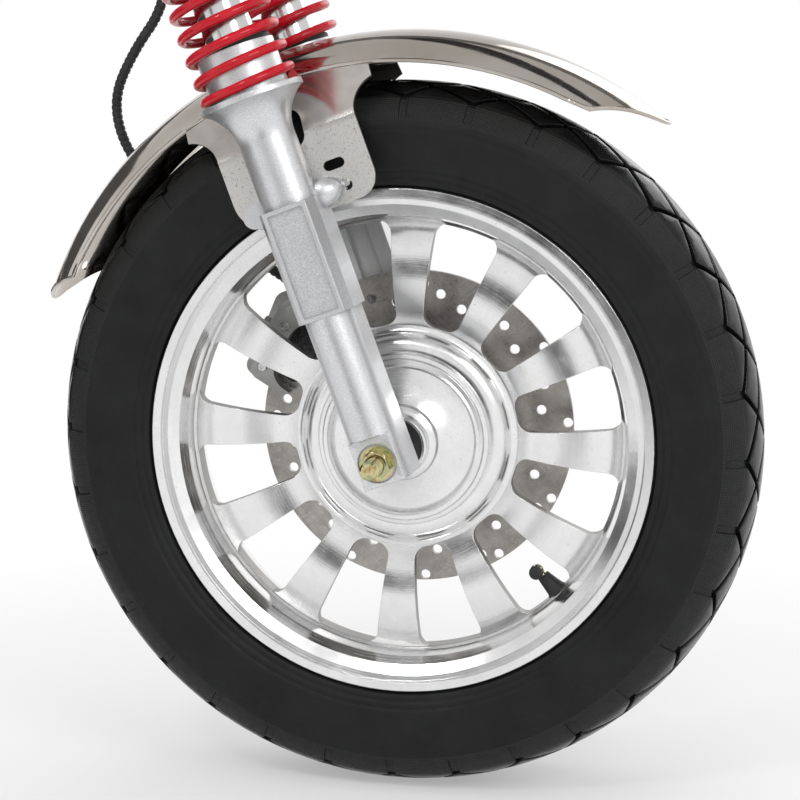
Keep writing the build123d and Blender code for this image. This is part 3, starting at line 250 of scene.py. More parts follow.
def bracket_steel():
    """Galvanised bracket plate: speckled on its foot, rubbed bright above the fold."""
    made = Surface("bracket_steel", Metallic=0.9)
    above_fold = made.math("SUBTRACT", made.leg_height(), BRACKET_FOLD_S)
    leaf = made.span(above_fold, -BRACKET_FOLD_HALF, BRACKET_FOLD_HALF, 0.0, 1.0)
    grain = made.noise(1100, 3, 0.7)
    specks = made.ramp(made.noise(760, 3, 0.6), (0.6, 0.0), (0.7, 1.0))
    zinc = made.ramp(grain, (0.3, (0.6, 0.59, 0.57)), (0.7, (0.8, 0.785, 0.76)))
    foot = made.mix(specks, zinc, (0.3, 0.29, 0.28))
    rubbed = made.ramp(made.noise(50, 4), (0.3, (0.4, 0.37, 0.345)), (0.7, (0.52, 0.49, 0.465)))
    made.colour(made.mix(leaf, foot, rubbed))
    smoother = made.span(leaf, 0, 1, 1, 0.36)
    made.roughness(made.math("MULTIPLY", made.span(grain, 0.3, 0.7, 0.34, 0.5), smoother))
    made.relief(made.math("MULTIPLY", grain, made.span(leaf, 0, 1, 1, 0.1)), 0.00005)
    return made.material


def yellow_zinc():
    """Yellow zinc plate, its tint drifting to green and pink."""
    made = Surface("yellow_zinc", Metallic=1.0)
    tints = ((0.3, (0.4, 0.27, 0.1)), (0.45, (0.68, 0.6, 0.34)))
    tints += ((0.58, (0.42, 0.48, 0.24)), (0.72, (0.56, 0.38, 0.32)))
    made.colour(made.ramp(made.noise(170, 3), *tints))
    made.roughness(made.span(made.noise(600, 3), 0.3, 0.7, 0.1, 0.2))
    made.relief(made.noise(1500, 2), 0.00001)
    return made.material


# The rim's windows lie between these distances from the axle, in metres
WINDOW_RADII = (0.074, 0.145)


def polished_aluminium():
    """Turned and polished aluminium, ringed about the axle; the window walls left rougher as cast,
    their colour darker partly as cast metal and partly as a painted dark reflection.
    """
    made = Surface("polished_aluminium", Metallic=1.0, Anisotropic=0.65)
    tangent = made.node("Tangent", direction_type="RADIAL", axis="Y")
    made.feed(made.shader.inputs["Tangent"], tangent.outputs[0])
    radius = made.wheel_radius()
    turning = {"W": radius, "Scale": 2200.0, "Detail": 3.0}
    rings = made.node("TexNoise", turning, noise_dimensions="1D").outputs[0]
    blotches = made.noise(35, 5, 0.65)
    pits = made.ramp(made.noise(900, 2), (0.66, 0.0), (0.74, 1.0))
    metal = made.ramp(blotches, (0.3, 0.76), (0.7, 0.88))
    within, beyond = (made.span(radius, edge - 0.001, edge + 0.001, 0, 1) for edge in WINDOW_RADII)
    in_windows = made.math("SUBTRACT", within, beyond)
    # Window walls facing across the wheel: rougher as cast metal, and painted darker, partly as a
    # painted dark reflection
    walls_cast_and_shaded = made.math("MULTIPLY", in_windows, made.span(made.sideways(), 0.1, 0.4, 1.0, 0.0))
    made.colour(made.mix(walls_cast_and_shaded, made.mix(pits, metal, (0.6, 0.59, 0.58)), (0.32, 0.31, 0.3)))
    smears = made.span(blotches, 0.4, 0.7, 0.0, 0.08)
    turned_finish = made.math("ADD", made.span(rings, 0.3, 0.7, 0.12, 0.24), smears)
    made.roughness(made.math("ADD", turned_finish, made.span(walls_cast_and_shaded, 0, 1, 0.0, 0.25)))
    made.rounded_edges(0.0007)
    made.relief(rings, 0.00002)
    return made.material


def disc_steel():
    """Ground disc steel: crossed grinding scratches, with darker smears left by the pads."""
    made = Surface("disc_steel", Metallic=1.0)
    smears = made.noise(55, 5, 0.7)
    tints = ((0.32, (0.3, 0.285, 0.27)), (0.5, (0.42, 0.4, 0.375)), (0.68, (0.5, 0.485, 0.46)))
    made.colour(made.ramp(smears, *tints))
    crossed = made.math("MAXIMUM", made.scratches(35), made.scratches(-50))
    made.roughness(made.span(crossed, 0.4, 0.8, 0.24, 0.46))
    made.relief(crossed, 0.00004)
    return made.material


def pad_lining():
    """Dark friction lining with metal grains."""
    made = Surface("pad_lining", Roughness=0.85)
    made.colour(made.ramp(made.noise(900, 2), (0.45, 0.03), (0.75, 0.12)))
    made.relief(made.noise(700, 3), 0.0002)
    return made.material


# Knurled band of the tyre's shoulder: its radii in metres, its cells round the tyre and per metre
KNURL_INSIDE, KNURL_OUTSIDE = 0.2092, 0.2225
KNURL_ROUND, KNURL_OUT = 1040, 780


def tyre_rubber():
    """Tyre rubber, with the fine crossed knurl of its shoulders and a faint bloom."""
    made = Surface("tyre_rubber", Specular_IOR_Level=0.28)
    radius, angle = made.wheel_radius(), made.wheel_angle()
    outwards = made.math("MULTIPLY", radius, pi * KNURL_OUT)
    onwards = made.math("MULTIPLY", angle, KNURL_ROUND / 2)
    slants = [made.math(sign, outwards, onwards) for sign in ("ADD", "SUBTRACT")]
    crossed = [made.math("SINE", slant) for slant in slants]
    inner = made.span(radius, KNURL_INSIDE - 0.0004, KNURL_INSIDE, 0.0, 1.0)
    outer = made.span(radius, KNURL_OUTSIDE, KNURL_OUTSIDE + 0.001, 1.0, 0.0)
    band = made.math("MULTIPLY", inner, outer)
    studs = made.span(made.math("MULTIPLY", *crossed), -0.6, 0.8, 0.0, 1.0)
    knurl = made.math("MULTIPLY", band, studs)
    greys = ((0.35, (0.0045, 0.0045, 0.0046)), (0.7, (0.0105, 0.011, 0.0118)))
    bloom = made.ramp(made.noise(26, 5, 0.6), *greys)
    made.colour(made.mix(knurl, bloom, (0.024, 0.026, 0.024)))
    rubbed = made.span(radius, KNURL_OUTSIDE, KNURL_OUTSIDE + 0.002, 1.0, 0.42)
    rough = made.span(made.noise(180, 4), 0.3, 0.7, 0.46, 0.62)
    made.roughness(made.math("MULTIPLY", rubbed, rough))
    made.relief(made.noise(1300, 3), 0.00005)
    made.relief(knurl, 0.0003)
    return made.material


def plain_finish(name, sockets, tint, gloss, bump):
    """A finish whose colour, roughness and relief follow noise: its scale and detail, then values."""
    made = Surface(name, **sockets)
    scale, detail, low, high = tint
    made.colour(made.ramp(made.noise(scale, detail), (0.3, low), (0.7, high)))
    scale, detail, low, high = gloss
    made.roughness(made.span(made.noise(scale, detail), 0.3, 0.7, low, high))
    scale, detail, depth = bump
    made.relief(made.noise(scale, detail), depth)
    return made.material


RED_COAT = {"Specular_IOR_Level": 0.1, "Coat_Weight": 0.6, "Coat_Roughness": 0.02}
RED_TINTS = ((0.5, 0.002, 0.011), (0.62, 0.004, 0.018))
GREY_TINTS = ((0.42, 0.42, 0.41), (0.54, 0.54, 0.53))
PLAIN_FINISHES = (
    ("red_coat", RED_COAT, (60, 3, *RED_TINTS), (300, 3, 0.3, 0.4), (600, 2, 0.00002)),
    ("black_coat", {}, (90, 4, 0.012, 0.024), (200, 3, 0.34, 0.5), (900, 2, 0.00008)),
    ("bright_steel", {"Metallic": 1}, (120, 3, 0.55, 0.7), (500, 3, 0.18, 0.34), (1200, 2, 0.00002)),
    ("caliper_grey", {"Metallic": 0.55}, (80, 4, *GREY_TINTS), (300, 3, 0.4, 0.55), (800, 3, 0.0001)),
    ("black_rubber", {}, (150, 4, 0.012, 0.026), (400, 3, 0.5, 0.68), (1100, 3, 0.00008)),
)
FINISH_MAKERS = (silver_paint, chrome_plate, stainless_sheet, bracket_steel, yellow_zinc)
FINISH_MAKERS += (polished_aluminium, disc_steel, pad_lining, tyre_rubber)
FINISHES = {maker.__name__: maker() for maker in FINISH_MAKERS}
FINISHES.update((row[0], plain_finish(*row)) for row in PLAIN_FINISHES)

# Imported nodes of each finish, by the start of their names
HEADSET = ("lower_bearing_cup", "upper_bearing_cup", "crown_race", "upper_race", "headset_locknut")
NODE_FINISHES = {
    "black_coat": ("head_tube", "crown", "spring_seat", "hose_clip"),
    "bright_steel": (*HEADSET, "steerer_tube", "stanchion_cap", "hub_spacer"),
    "polished_aluminium": ("wheel_rim",),
    "tyre_rubber": ("tyre",),
    "disc_steel": ("brake_disc",),
    "black_rubber": ("wheel_bearing", "valve_stem", "dust_seal", "brake_hose"),
    "chrome_plate": ("stanchion",),
    "red_coat": ("spring",),
    "silver_paint": ("slider",),
    "yellow_zinc": ("axle", "hose_banjo", "hose_fitting"),
    "caliper_grey": ("brake_caliper",),
    "pad_lining": ("brake_pads",),
    "bracket_steel": ("caliper_bracket", "mudguard_bracket"),
    "stainless_sheet": ("mudguard",),
}


def finish_nodes():
    """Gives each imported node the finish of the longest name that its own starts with."""
    starts = [(start, finish) for finish, names in NODE_FINISHES.items() for start in names]
    for name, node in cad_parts.items():
        finish = max((len(start), finish) for start, finish in starts if name.startswith(start))[1]
        for slot in node.material_slots:
            slot.material = FINISHES[finish]


finish_nodes()


# Meshes


def new_piece(name, body, slot, vertices, faces, stands_for=(), sharp=35):
    """A smooth mesh piece on a body, creased where its faces turn by more than an angle."""
    mesh = bpy.data.meshes.new(name)
    mesh.from_pydata([tuple(point) for point in vertices], [], faces)
    shape = bmesh.new()
    shape.from_mesh(mesh)
    bmesh.ops.remove_doubles(shape, verts=shape.verts, dist=0.000001)
    bmesh.ops.recalc_face_normals(shape, faces=shape.faces)
    for face in shape.faces:
        face.smooth = True
    for edge in shape.edges:
        edge.smooth = len(edge.link_faces) == 2 and edge.calc_face_angle() < radians(sharp)
    shape.to_mesh(mesh)
    shape.free()
    made = bpy.data.objects.new(name, mesh)
    bpy.context.collection.objects.link(made)
    mesh.materials.append(FINISHES[slot])
    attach(made, body)
    if stands_for:
        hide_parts(*stands_for)


def loop_faces(rows, columns, closed_rows=False):
    """Quads between the points of closed rings, one ring after another."""
    faces = []
    for row in range(rows if closed_rows else rows - 1):
        here, above = row * columns, (row + 1) % rows * columns
        for column in range(columns):
            after = (column + 1) % columns
            faces.append((here + column, here + after, above + after, above + column))
    return faces


def turned(profile, start, axis, across, steps):
    """Points and faces of a profile turned about an axis, as radius and height in millimetres."""
    axis = Vector(axis).normalized()
    across = Vector(across).normalized()
    other = axis.cross(across)
    vertices = []
    for radius, height in profile:
        for step in range(steps):
            angle = 2 * pi * step / steps
            out = across * cos(angle) + other * sin(angle)
            vertices.append(Vector(start) + (out * radius + axis * height) * MM)
    return vertices, loop_faces(len(profile), steps)


def joined(*shapes):
    """Several point and face lists as one."""
    vertices, faces = [], []
    for more_vertices, more_faces in shapes:
        first = len(vertices)
        vertices.extend(more_vertices)
        faces.extend(tuple(first + index for index in face) for face in more_faces)
    return vertices, faces


def arc_points(first, middle, last, steps):
    """Points along the circle through three points of a plane, both ends included."""
    (x1, y1), (x2, y2), (x3, y3) = first, middle, last
    twice = 2 * (x1 * (y2 - y3) + x2 * (y3 - y1) + x3 * (y1 - y2))
    squares = [x * x + y * y for x, y in (first, middle, last)]
    centre_x = (squares[0] * (y2 - y3) + squares[1] * (y3 - y1) + squares[2] * (y1 - y2)) / twice
    centre_y = (squares[0] * (x3 - x2) + squares[1] * (x1 - x3) + squares[2] * (x2 - x1)) / twice
    radius = sqrt((x1 - centre_x) ** 2 + (y1 - centre_y) ** 2)
    start = atan2(y1 - centre_y, x1 - centre_x)
    turn = 0
    for here, there in ((first, middle), (middle, last)):
        a = atan2(here[1] - centre_y, here[0] - centre_x)
        b = atan2(there[1] - centre_y, there[0] - centre_x)
        turn += (b - a + pi) % (2 * pi) - pi
    angles = [start + turn * k / steps for k in range(steps + 1)]
    return [(centre_x + radius * cos(angle), centre_y + radius * sin(angle)) for angle in angles]


# Tyre: carcass, raised tread blocks, shoulder plates and moulding nubs

TYRE_RADIUS = 233.5
TYRE_HALF_WIDTH = 44.0
TREAD_PITCHES = 32
TREAD_PHASE = 51.2
GROOVE_DEPTH = 3.6
GROOVE_HALF = 1.7
BREAK_HALF = 2.6
BREAK_DEPTH = 0.9
SHOULDER_END = 51.0
CARCASS_STEPS = 192
PITCH_LENGTH = 2 * pi * TYRE_RADIUS / TREAD_PITCHES
# Nodes of the groove network: share of a pitch, distance from the crown along the section
NODE_CROWN = (0.36, 3.6)
NODE_MIDDLE = (0.0, 18.8)
NODE_SHOULDER = (0.65, 35.2)


def tyre_section():
    """One half of the outside section from crown to bead: radius, y and distance along it."""
    outside = arc_points((TYRE_RADIUS, 0), (231.27, 16.8), (225, 32), 24)
    outside += arc_points((225, 32), (213, 41.5), (199, TYRE_HALF_WIDTH), 20)[1:]
    outside += arc_points((199, TYRE_HALF_WIDTH), (182, 42), (168, 36), 24)[1:]
    rows, along = [], 0.0
    for k, (radius, y) in enumerate(outside):
        if k:
            along += sqrt((radius - outside[k - 1][0]) ** 2 + (y - outside[k - 1][1]) ** 2)
        rows.append((along, radius, y))
    return rows


TYRE_SECTION = tyre_section()


def tyre_surface(distance_round, across, height):
    """A place on the tyre: millimetres round the tread, across its section, above its surface."""
    side = -1 if across < 0 else 1
    along = abs(across)
    k = 1
    while k < len(TYRE_SECTION) - 1 and TYRE_SECTION[k][0] < along:
        k += 1
    (a0, r0, y0), (a1, r1, y1) = TYRE_SECTION[k - 1], TYRE_SECTION[k]
    share = (along - a0) / (a1 - a0)
    length = sqrt((r1 - r0) ** 2 + (y1 - y0) ** 2)
    out_r, out_y = (y1 - y0) / length, (r0 - r1) / length
    radius = r0 + (r1 - r0) * share + out_r * height
    y = y0 + (y1 - y0) * share + out_y * height
    angle = TREAD_PHASE - distance_round / TYRE_RADIUS * 180 / pi
    return wheel_point(radius, angle, side * y)


def inset(outline, margins):
    """A convex outline, anticlockwise, with each side moved inwards by its margin."""
    made = []
    count = len(outline)
    for k in range(count):
        sides = []
        for first, margin in ((k - 1, margins[k - 1]), (k, margins[k])):
            (x0, y0), (x1, y1) = outline[first % count], outline[(first + 1) % count]
            length = sqrt((x1 - x0) ** 2 + (y1 - y0) ** 2)
            normal = ((y0 - y1) / length, (x1 - x0) / length)
            sides.append((*normal, normal[0] * x0 + normal[1] * y0 + margin))
        (a, b, c), (d, e, f) = sides
        cross = a * e - b * d
        made.append(((c * e - b * f) / cross, (a * f - c * d) / cross))
    return made


def tread_plate(outline, margins, depth, edge=0.55):
    """A raised block with rounded edges over a flat outline, cut up so that it can be bent."""
    rings = []
    flank = ((0.0, -depth), (0.15, -edge), (0.35 * edge + 0.15, -0.3 * edge), (edge + 0.2, 0.0))
    for spread, height in flank:
        rings.append((inset(outline, [m + spread if m else 0 for m in margins]), height))
    block = bmesh.new()
    loops = [[block.verts.new((x, y, height)) for x, y in ring] for ring, height in rings]
    count = len(outline)
    for lower, upper in zip(loops, loops[1:]):
        for k in range(count):
            after = (k + 1) % count
            if margins[k]:
                block.faces.new((lower[k], lower[after], upper[after], upper[k]))
    block.faces.new(loops[-1])
    for axis, step, span in ((0, PITCH_LENGTH / 5, 1.3 * PITCH_LENGTH), (1, 3.4, 60)):
        for k in range(-int(span / step), int(span / step) + 1):
            place, normal = [0, 0, 0], [0, 0, 0]
            place[axis] = k * step + 0.013
            normal[axis] = 1
            everything = block.verts[:] + block.edges[:] + block.faces[:]
            bmesh.ops.bisect_plane(block, geom=everything, plane_co=place, plane_no=normal)
    block.verts.index_update()
    points = [tuple(v.co) for v in block.verts]
    faces = [tuple(v.index for v in f.verts) for f in block.faces]
    block.free()
    return points, faces


def in_pitch(node, pitches=0, side=1):
    """A network node in flat tread millimetres, some pitches further round, on one side."""
    return ((node[0] + pitches) * PITCH_LENGTH, side * node[1])


def tread_blocks():
    """The plates of one pitch: centre block, side blocks and shoulder plates, with break floors."""
    half, crown, middle = GROOVE_HALF, NODE_CROWN, NODE_MIDDLE
    spots = ((crown, 0, -1), (middle, 1, -1), (crown, 1, -1), (crown, 1), (middle, 1), (crown, 0))
    centre = [in_pitch(*spot) for spot in spots]
    side = [in_pitch(*spot) for spot in ((middle, 0), (crown, 0), (middle, 1), (NODE_SHOULDER, 0))]
    start, end = in_pitch(NODE_SHOULDER, 0), in_pitch(NODE_SHOULDER, 1)
    shoulder = [start, in_pitch(middle, 1), end, (end[0], SHOULDER_END), (start[0], SHOULDER_END)]
    low, before, after = start[1] + half, start[0] - BREAK_HALF, start[0] + BREAK_HALF
    gap = [(before, low), (after, low), (after, SHOULDER_END), (before, SHOULDER_END)]
    margins = [half, half, BREAK_HALF, 0, BREAK_HALF]
    plates = [(tread_plate(centre, [half] * 6, GROOVE_DEPTH), (1,))]
    plates.append((tread_plate(side, [half] * 4, GROOVE_DEPTH), (1, -1)))
    plates.append((tread_plate(shoulder, margins, GROOVE_DEPTH), (1, -1)))
    floor = tread_plate(gap, [0.01, 0, 0, 0], GROOVE_DEPTH - BREAK_DEPTH, 0.3)
    lowered = [(x, y, height - BREAK_DEPTH) for x, y, height in floor[0]]
    plates.append(((lowered, floor[1]), (1, -1)))
    return plates


# Moulding nubs: share of a pitch and distance across
NUBS = ((0.12, 17.5), (0.86, 19.6), (0.42, 6.6), (0.62, 30.5), (0.2, 44.0), (0.97, 2.0))
NUB_RADIUS = 0.35


def moulding_nubs():
    """Small rubber nubs left by the mould's vents."""
    spots = [(NUB_RADIUS * cos(2 * pi * k / 5), NUB_RADIUS * sin(2 * pi * k / 5)) for k in range(5)]
    nubs = []
    for pitch in range(TREAD_PITCHES):
        for share, across in NUBS:
            for side in (1, -1):
                foot = (pitch + share) * PITCH_LENGTH
                ring = [tyre_surface(foot + x, side * across + y, -0.1) for x, y in spots]
                tip = tyre_surface(foot + 0.3, side * across, 0.0)
                tip -= (tip - AXLE).normalized() * 0.02 * MM
                nubs.append((ring + [tip], [(k, (k + 1) % 5, 5) for k in range(5)]))
    return nubs


def build_tyre():
    """Tyre with its groove network, replacing the plain packed one."""
    floor = [row for row in TYRE_SECTION if row[0] < SHOULDER_END]
    wall = [row for row in TYRE_SECTION if row[0] >= SHOULDER_END]
    half_section = []
    for along, _, _ in floor[::2] + [(SHOULDER_END, 0, 0)]:
        half_section.append((along, -GROOVE_DEPTH))
    half_section.append((SHOULDER_END, 0.0))
    for along, radius, _ in wall:
        half_section.append((along, sidewall_relief(radius)))
    bead = [(166.8, 32.4), (155.0, 31.3), (153.0, 29.0), (153.0, 20.0)]
    inside = bead + arc_points((158.0, 20.0), (199.0, 36.5), (219.0, 27.0), 10)
    inner = [(radius, -y) for radius, y in inside]
    inner += arc_points((219.0, -27.0), (225.0, 0.0), (219.0, 27.0), 10)[1:] + inside[-2::-1]
    vertices = []
    rows = [(1, along, height) for along, height in reversed(half_section)]
    rows += [(-1, along, height) for along, height in half_section[1:]]
    for side, along, height in rows:
        for k in range(CARCASS_STEPS):
            round_it = 2 * pi * TYRE_RADIUS * k / CARCASS_STEPS
            vertices.append(tyre_surface(round_it, side * max(along, 0.0001), height))
    for radius, y in inner:
        for k in range(CARCASS_STEPS):
            vertices.append(wheel_point(radius, TREAD_PHASE - 360 * k / CARCASS_STEPS, y))
    shapes = [(vertices, loop_faces(len(rows) + len(inner), CARCASS_STEPS, closed_rows=True))]
    for (flat, faces), sides in tread_blocks():
        for side in sides:
            turned_faces = faces if side > 0 else [tuple(reversed(face)) for face in faces]
            for pitch in range(TREAD_PITCHES):
                start = pitch * PITCH_LENGTH
                bent = [tyre_surface(start + x, side * y, height) for x, y, height in flat]
                shapes.append((bent, turned_faces))
    shapes.extend(moulding_nubs())
    tyre = joined(*shapes)
    new_piece("tyre_treaded", "wheel", "tyre_rubber", *tyre, stands_for=("tyre",), sharp=32)


# Rings sunk in the sidewall: radius, width and depth
SIDEWALL_RINGS = ((176.5, 1.4, 0.5), (172.0, 1.2, 0.5), (181.0, 0.8, 0.3), (203.5, 1.0, 0.35))


def sidewall_relief(radius):
    """Height of the sidewall's moulding, in millimetres."""
    return -sum(depth for ring, width, depth in SIDEWALL_RINGS if abs(radius - ring) < width / 2)


# Springs, axle, nuts, valve and hose

LEG_Y = 80.0
SPRING_MEAN_RADIUS = 28.8
SPRING_WIRE_RADIUS = 3.0
SPRING_BOTTOM_S = 240.0
SPRING_TURNS = 12.68
SPRING_PITCH = 14.2
SPRING_CLOSED_TURNS = 0.68
SPRING_CLOSED_PITCH = 2.4
SPRING_START_ANGLE = 22.0
SPRING_STEPS = 40


def swept_tube(points, ring_radius, sides, normal=None):
    """A round tube along points, its radius a number or a function of point and side."""
    vertices = []
    across = Vector(normal) if normal else (points[1] - points[0]).orthogonal()
    for k, place in enumerate(points):
        along = points[min(k + 1, len(points) - 1)] - points[max(k - 1, 0)]
        along.normalize()
        across = (across - along * across.dot(along)).normalized()
        other = along.cross(across)
        for side in range(sides):
            angle = 2 * pi * side / sides
            radius = ring_radius(k, side) if callable(ring_radius) else ring_radius
            vertices.append(place + (across * cos(angle) + other * sin(angle)) * radius)
    faces = loop_faces(len(points), sides)
    last = (len(points) - 1) * sides
    faces.append(tuple(reversed(range(sides))))
    faces.append(tuple(range(last, last + sides)))
    return vertices, faces


def build_springs():
    """Round-wire coil springs whose end turns lie nearly flat."""
    turns = SPRING_TURNS + 2 * SPRING_CLOSED_TURNS
    count = round(turns * SPRING_STEPS)
    bottom = SPRING_BOTTOM_S + SPRING_WIRE_RADIUS
    for side_name, sign in SIDES:
        points = []
        for k in range(count + 1):
            turn = turns * k / count
            closed = min(turn, SPRING_CLOSED_TURNS)
            closed += max(turn - SPRING_TURNS - SPRING_CLOSED_TURNS, 0)
            s = bottom + closed * SPRING_CLOSED_PITCH + (turn - closed) * SPRING_PITCH
            angle = radians(SPRING_START_ANGLE) + 2 * pi * turn
            out_t, out_y = SPRING_MEAN_RADIUS * cos(angle), SPRING_MEAN_RADIUS * sin(angle)
            points.append(fork_point(out_t, sign * LEG_Y + out_y, s))
        wire = swept_tube(points, SPRING_WIRE_RADIUS * MM, 16)
        replaced = (f"spring_{side_name}",)
        new_piece(f"coil_{side_name}", "fork", "red_coat", *wire, stands_for=replaced)


AXLE_RADIUS = 6.0
AXLE_END_Y = 126.0
THREAD_LENGTH = 30.0
THREAD_PITCH = 1.25
THREAD_DEPTH = 0.6
NUT_FLATS = 17.2
NUT_Y = 100.2
NUT_HEIGHT = 10.0


def build_axle():
    """Axle with a helical thread at both ends."""
    sides = 32
    levels = []
    y = -AXLE_END_Y
    while y < -AXLE_END_Y + THREAD_LENGTH:
        levels.append(y)
        y += THREAD_PITCH / 6
    levels += [-AXLE_END_Y + THREAD_LENGTH + 1, AXLE_END_Y - THREAD_LENGTH - 1]
    levels += [-level for level in reversed(levels[:-2])]
    vertices = [AXLE + LEFT * (levels[0] * MM)]
    for y in levels:
        from_end = AXLE_END_Y - abs(y)
        for side in range(sides):
            turn = (abs(y) / THREAD_PITCH + side / sides) % 1
            cut = THREAD_DEPTH * abs(2 * turn - 1) if from_end < THREAD_LENGTH else 0
            radius = min(AXLE_RADIUS - cut, AXLE_RADIUS - 1.3 + from_end)
            vertices.append(wheel_point(radius, 360 * side / sides, y))
    vertices.append(AXLE + LEFT * (levels[-1] * MM))
    faces = [tuple(1 + index for index in face) for face in loop_faces(len(levels), sides)]
    last = len(vertices) - 1
    for side in range(sides):
        after = (side + 1) % sides
        faces += [(0, 1 + after, 1 + side), (last, last - sides + side, last - sides + after)]
    new_piece("threaded_axle", "fork", "yellow_zinc", vertices, faces, stands_for=("axle",))


# Chamfer of nuts and bolt heads: where it starts, as a share of the flats, and its slope
CHAMFER_START, CHAMFER_SLOPE = 0.97, 0.577
NUT_STEPS = 72


def hex_nut(start, axis, across, flats, bore, height, both=True):
    """A hexagon nut or head with rounded corners, as points and faces."""
    axis, across = Vector(axis).normalized(), Vector(across).normalized()
    other = axis.cross(across)
    crown = flats / 2 * CHAMFER_START
    sections = []
    for step in range(NUT_STEPS):
        angle = 2 * pi * step / NUT_STEPS
        corner = flats / 2 / cos((angle + pi / 6) % (pi / 3) - pi / 6)
        drop = max(corner - crown, 0) * CHAMFER_SLOPE
        section = [(bore, 0), (crown, 0), (corner, drop)] if both else [(bore, 0), (corner, 0)]
        section += [(corner, height - drop), (crown, height)]
        section += [(bore + 0.5, height), (bore, height - 0.5)]
        out = across * cos(angle) + other * sin(angle)
        sections.append([Vector(start) + (out * r + axis * h) * MM for r, h in section])
    vertices = [point for row in zip(*sections) for point in row]
    return vertices, loop_faces(len(sections[0]), NUT_STEPS, closed_rows=True)


def build_nuts():
    """Axle nuts with chamfered corners, over their washers."""
    for side_name, sign in SIDES:
        start = AXLE + LEFT * (sign * NUT_Y * MM)
        nut = hex_nut(start, LEFT * sign, FORWARD, NUT_FLATS, AXLE_RADIUS, NUT_HEIGHT)
        replaced = (f"axle_nut_{side_name}",)
        new_piece(f"nut_{side_name}", "fork", "yellow_zinc", *nut, stands_for=replaced)


VALVE_ANGLE = -45.0


def build_valve():
    """Snap-in valve: rubber cone, brass elbow with its nut, knurled black cap."""
    out = (wheel_point(1000, VALVE_ANGLE, 0) - AXLE).normalized()
    inward = -out
    seat = AXLE + out * 143.0 * MM
    cone = [(0.0, -8), (5.0, -8), (5.0, -1), (7.4, -0.6), (7.4, 0.4), (6.4, 2.0), (5.6, 6.0)]
    cone += [(4.6, 12.0), (4.2, 14.0), (0.0, 14.4)]
    rubber = turned(cone, seat, inward, LEFT, 40)
    new_piece("valve_rubber", "wheel", "black_rubber", *rubber, stands_for=("valve_stem",))
    stem = [(0.0, 12.0), (3.0, 12.0), (3.0, 16.2), (3.6, 16.6), (3.6, 18.2), (3.0, 18.6)]
    stem += [(3.0, 19.5), (0.0, 19.5)]
    elbow_centre = AXLE + out * 124.0 * MM
    bend = [elbow_centre + LEFT * (3.2 - 1.2 * k) * MM for k in range(8)]
    brass = joined(
        turned(stem, seat, inward, LEFT, 32),
        swept_tube(bend, 3.4 * MM, 24, out),
        hex_nut(elbow_centre - LEFT * 5.2 * MM, -LEFT, out, 8.4, 3.0, 3.0),
    )
    new_piece("valve_elbow", "wheel", "yellow_zinc", *brass)
    sides = 60
    profile = [(0.0, -10.9), (2.9, -10.9), (4.2, -10.4), (4.65, -9.4), (4.65, -3.4), (4.2, -2.9)]
    profile += [(3.0, -2.9)]
    vertices = []
    for radius, y in profile:
        for k in range(sides):
            angle = 2 * pi * k / sides
            knurl = 0.22 if k % 2 and radius > 4.6 else 0.0
            spread = inward * cos(angle) + LEFT.cross(inward) * sin(angle)
            vertices.append(elbow_centre + (spread * (radius - knurl) + LEFT * y) * MM)
    new_piece("valve_cap", "wheel", "black_rubber", vertices, loop_faces(len(profile), sides))


# The hose's free points from the axle, in millimetres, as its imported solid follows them
HOSE_ROUTE = (
    (-144.0, 55.0, 128.0),
    (-183.0, 60.0, 152.0),
    (-212.0, 61.5, 182.0),
    (-221.0, 62.0, 218.0),
    (-205.0, 61.0, 251.0),
    (-182.0, 60.0, 281.0),
    (-179.0, 60.0, 320.0),
)
CALIPER_ANGLE = 148.5
CALIPER_HALF_LENGTH = 29.0
BANJO_CENTRE_RADIUS = 114.0
BANJO_Y = 46.0
BANJO_HEIGHT = 10.0
BANJO_NECK_LENGTH = 15.0
HOSE_FIRST_RUN = 20.0
HOSE_TOP_T = -45.0
HOSE_TOP_Y = 60.0
HOSE_TOP_S = 462.0
HOSE_RADIUS = 3.55
HOSE_WRAP_PITCH = 4.2


def hose_curve_points():
    """Points read from the hose's own smooth curve."""
    out = (wheel_point(1000, CALIPER_ANGLE, 0) - AXLE).normalized()
    along = Vector((out.z, 0, -out.x))
    above = along * (CALIPER_HALF_LENGTH + BANJO_HEIGHT / 2)
    banjo = AXLE + (out * BANJO_CENTRE_RADIUS + above) * MM
    start = banjo + (out * BANJO_NECK_LENGTH + LEFT * BANJO_Y) * MM
    route = [start, start + out * HOSE_FIRST_RUN * MM]
    route += [AXLE + Vector(point) * MM for point in HOSE_ROUTE]
    route += [fork_point(HOSE_TOP_T, HOSE_TOP_Y, s) for s in (420, HOSE_TOP_S)]
    curve = bpy.data.curves.new("hose_line", "CURVE")
    curve.dimensions = "3D"
    line = curve.splines.new("NURBS")
    line.points.add(len(route) - 1)
    for point, place in zip(line.points, route):
        point.co = (*place, 1)
    line.order_u = 3
    line.use_endpoint_u = True
    line.resolution_u = 60
    holder = bpy.data.objects.new("hose_line", curve)
    bpy.context.collection.objects.link(holder)
    mesh = bpy.data.meshes.new_from_object(holder)
    points = [vertex.co.copy() for vertex in mesh.vertices]
    bpy.data.objects.remove(holder)
    bpy.data.curves.remove(curve)
    bpy.data.meshes.remove(mesh)
    return points


def even_points(points, step):
    """Points a step apart along a line of points."""
    made = [points[0]]
    behind, left = points[0], step
    for ahead in points[1:]:
        run = (ahead - behind).length
        while run >= left:
            behind = behind + (ahead - behind) * (left / run)
            made.append(behind)
            run = (ahead - behind).length
            left = step
        left -= run
        behind = ahead
    return made + [points[-1]]


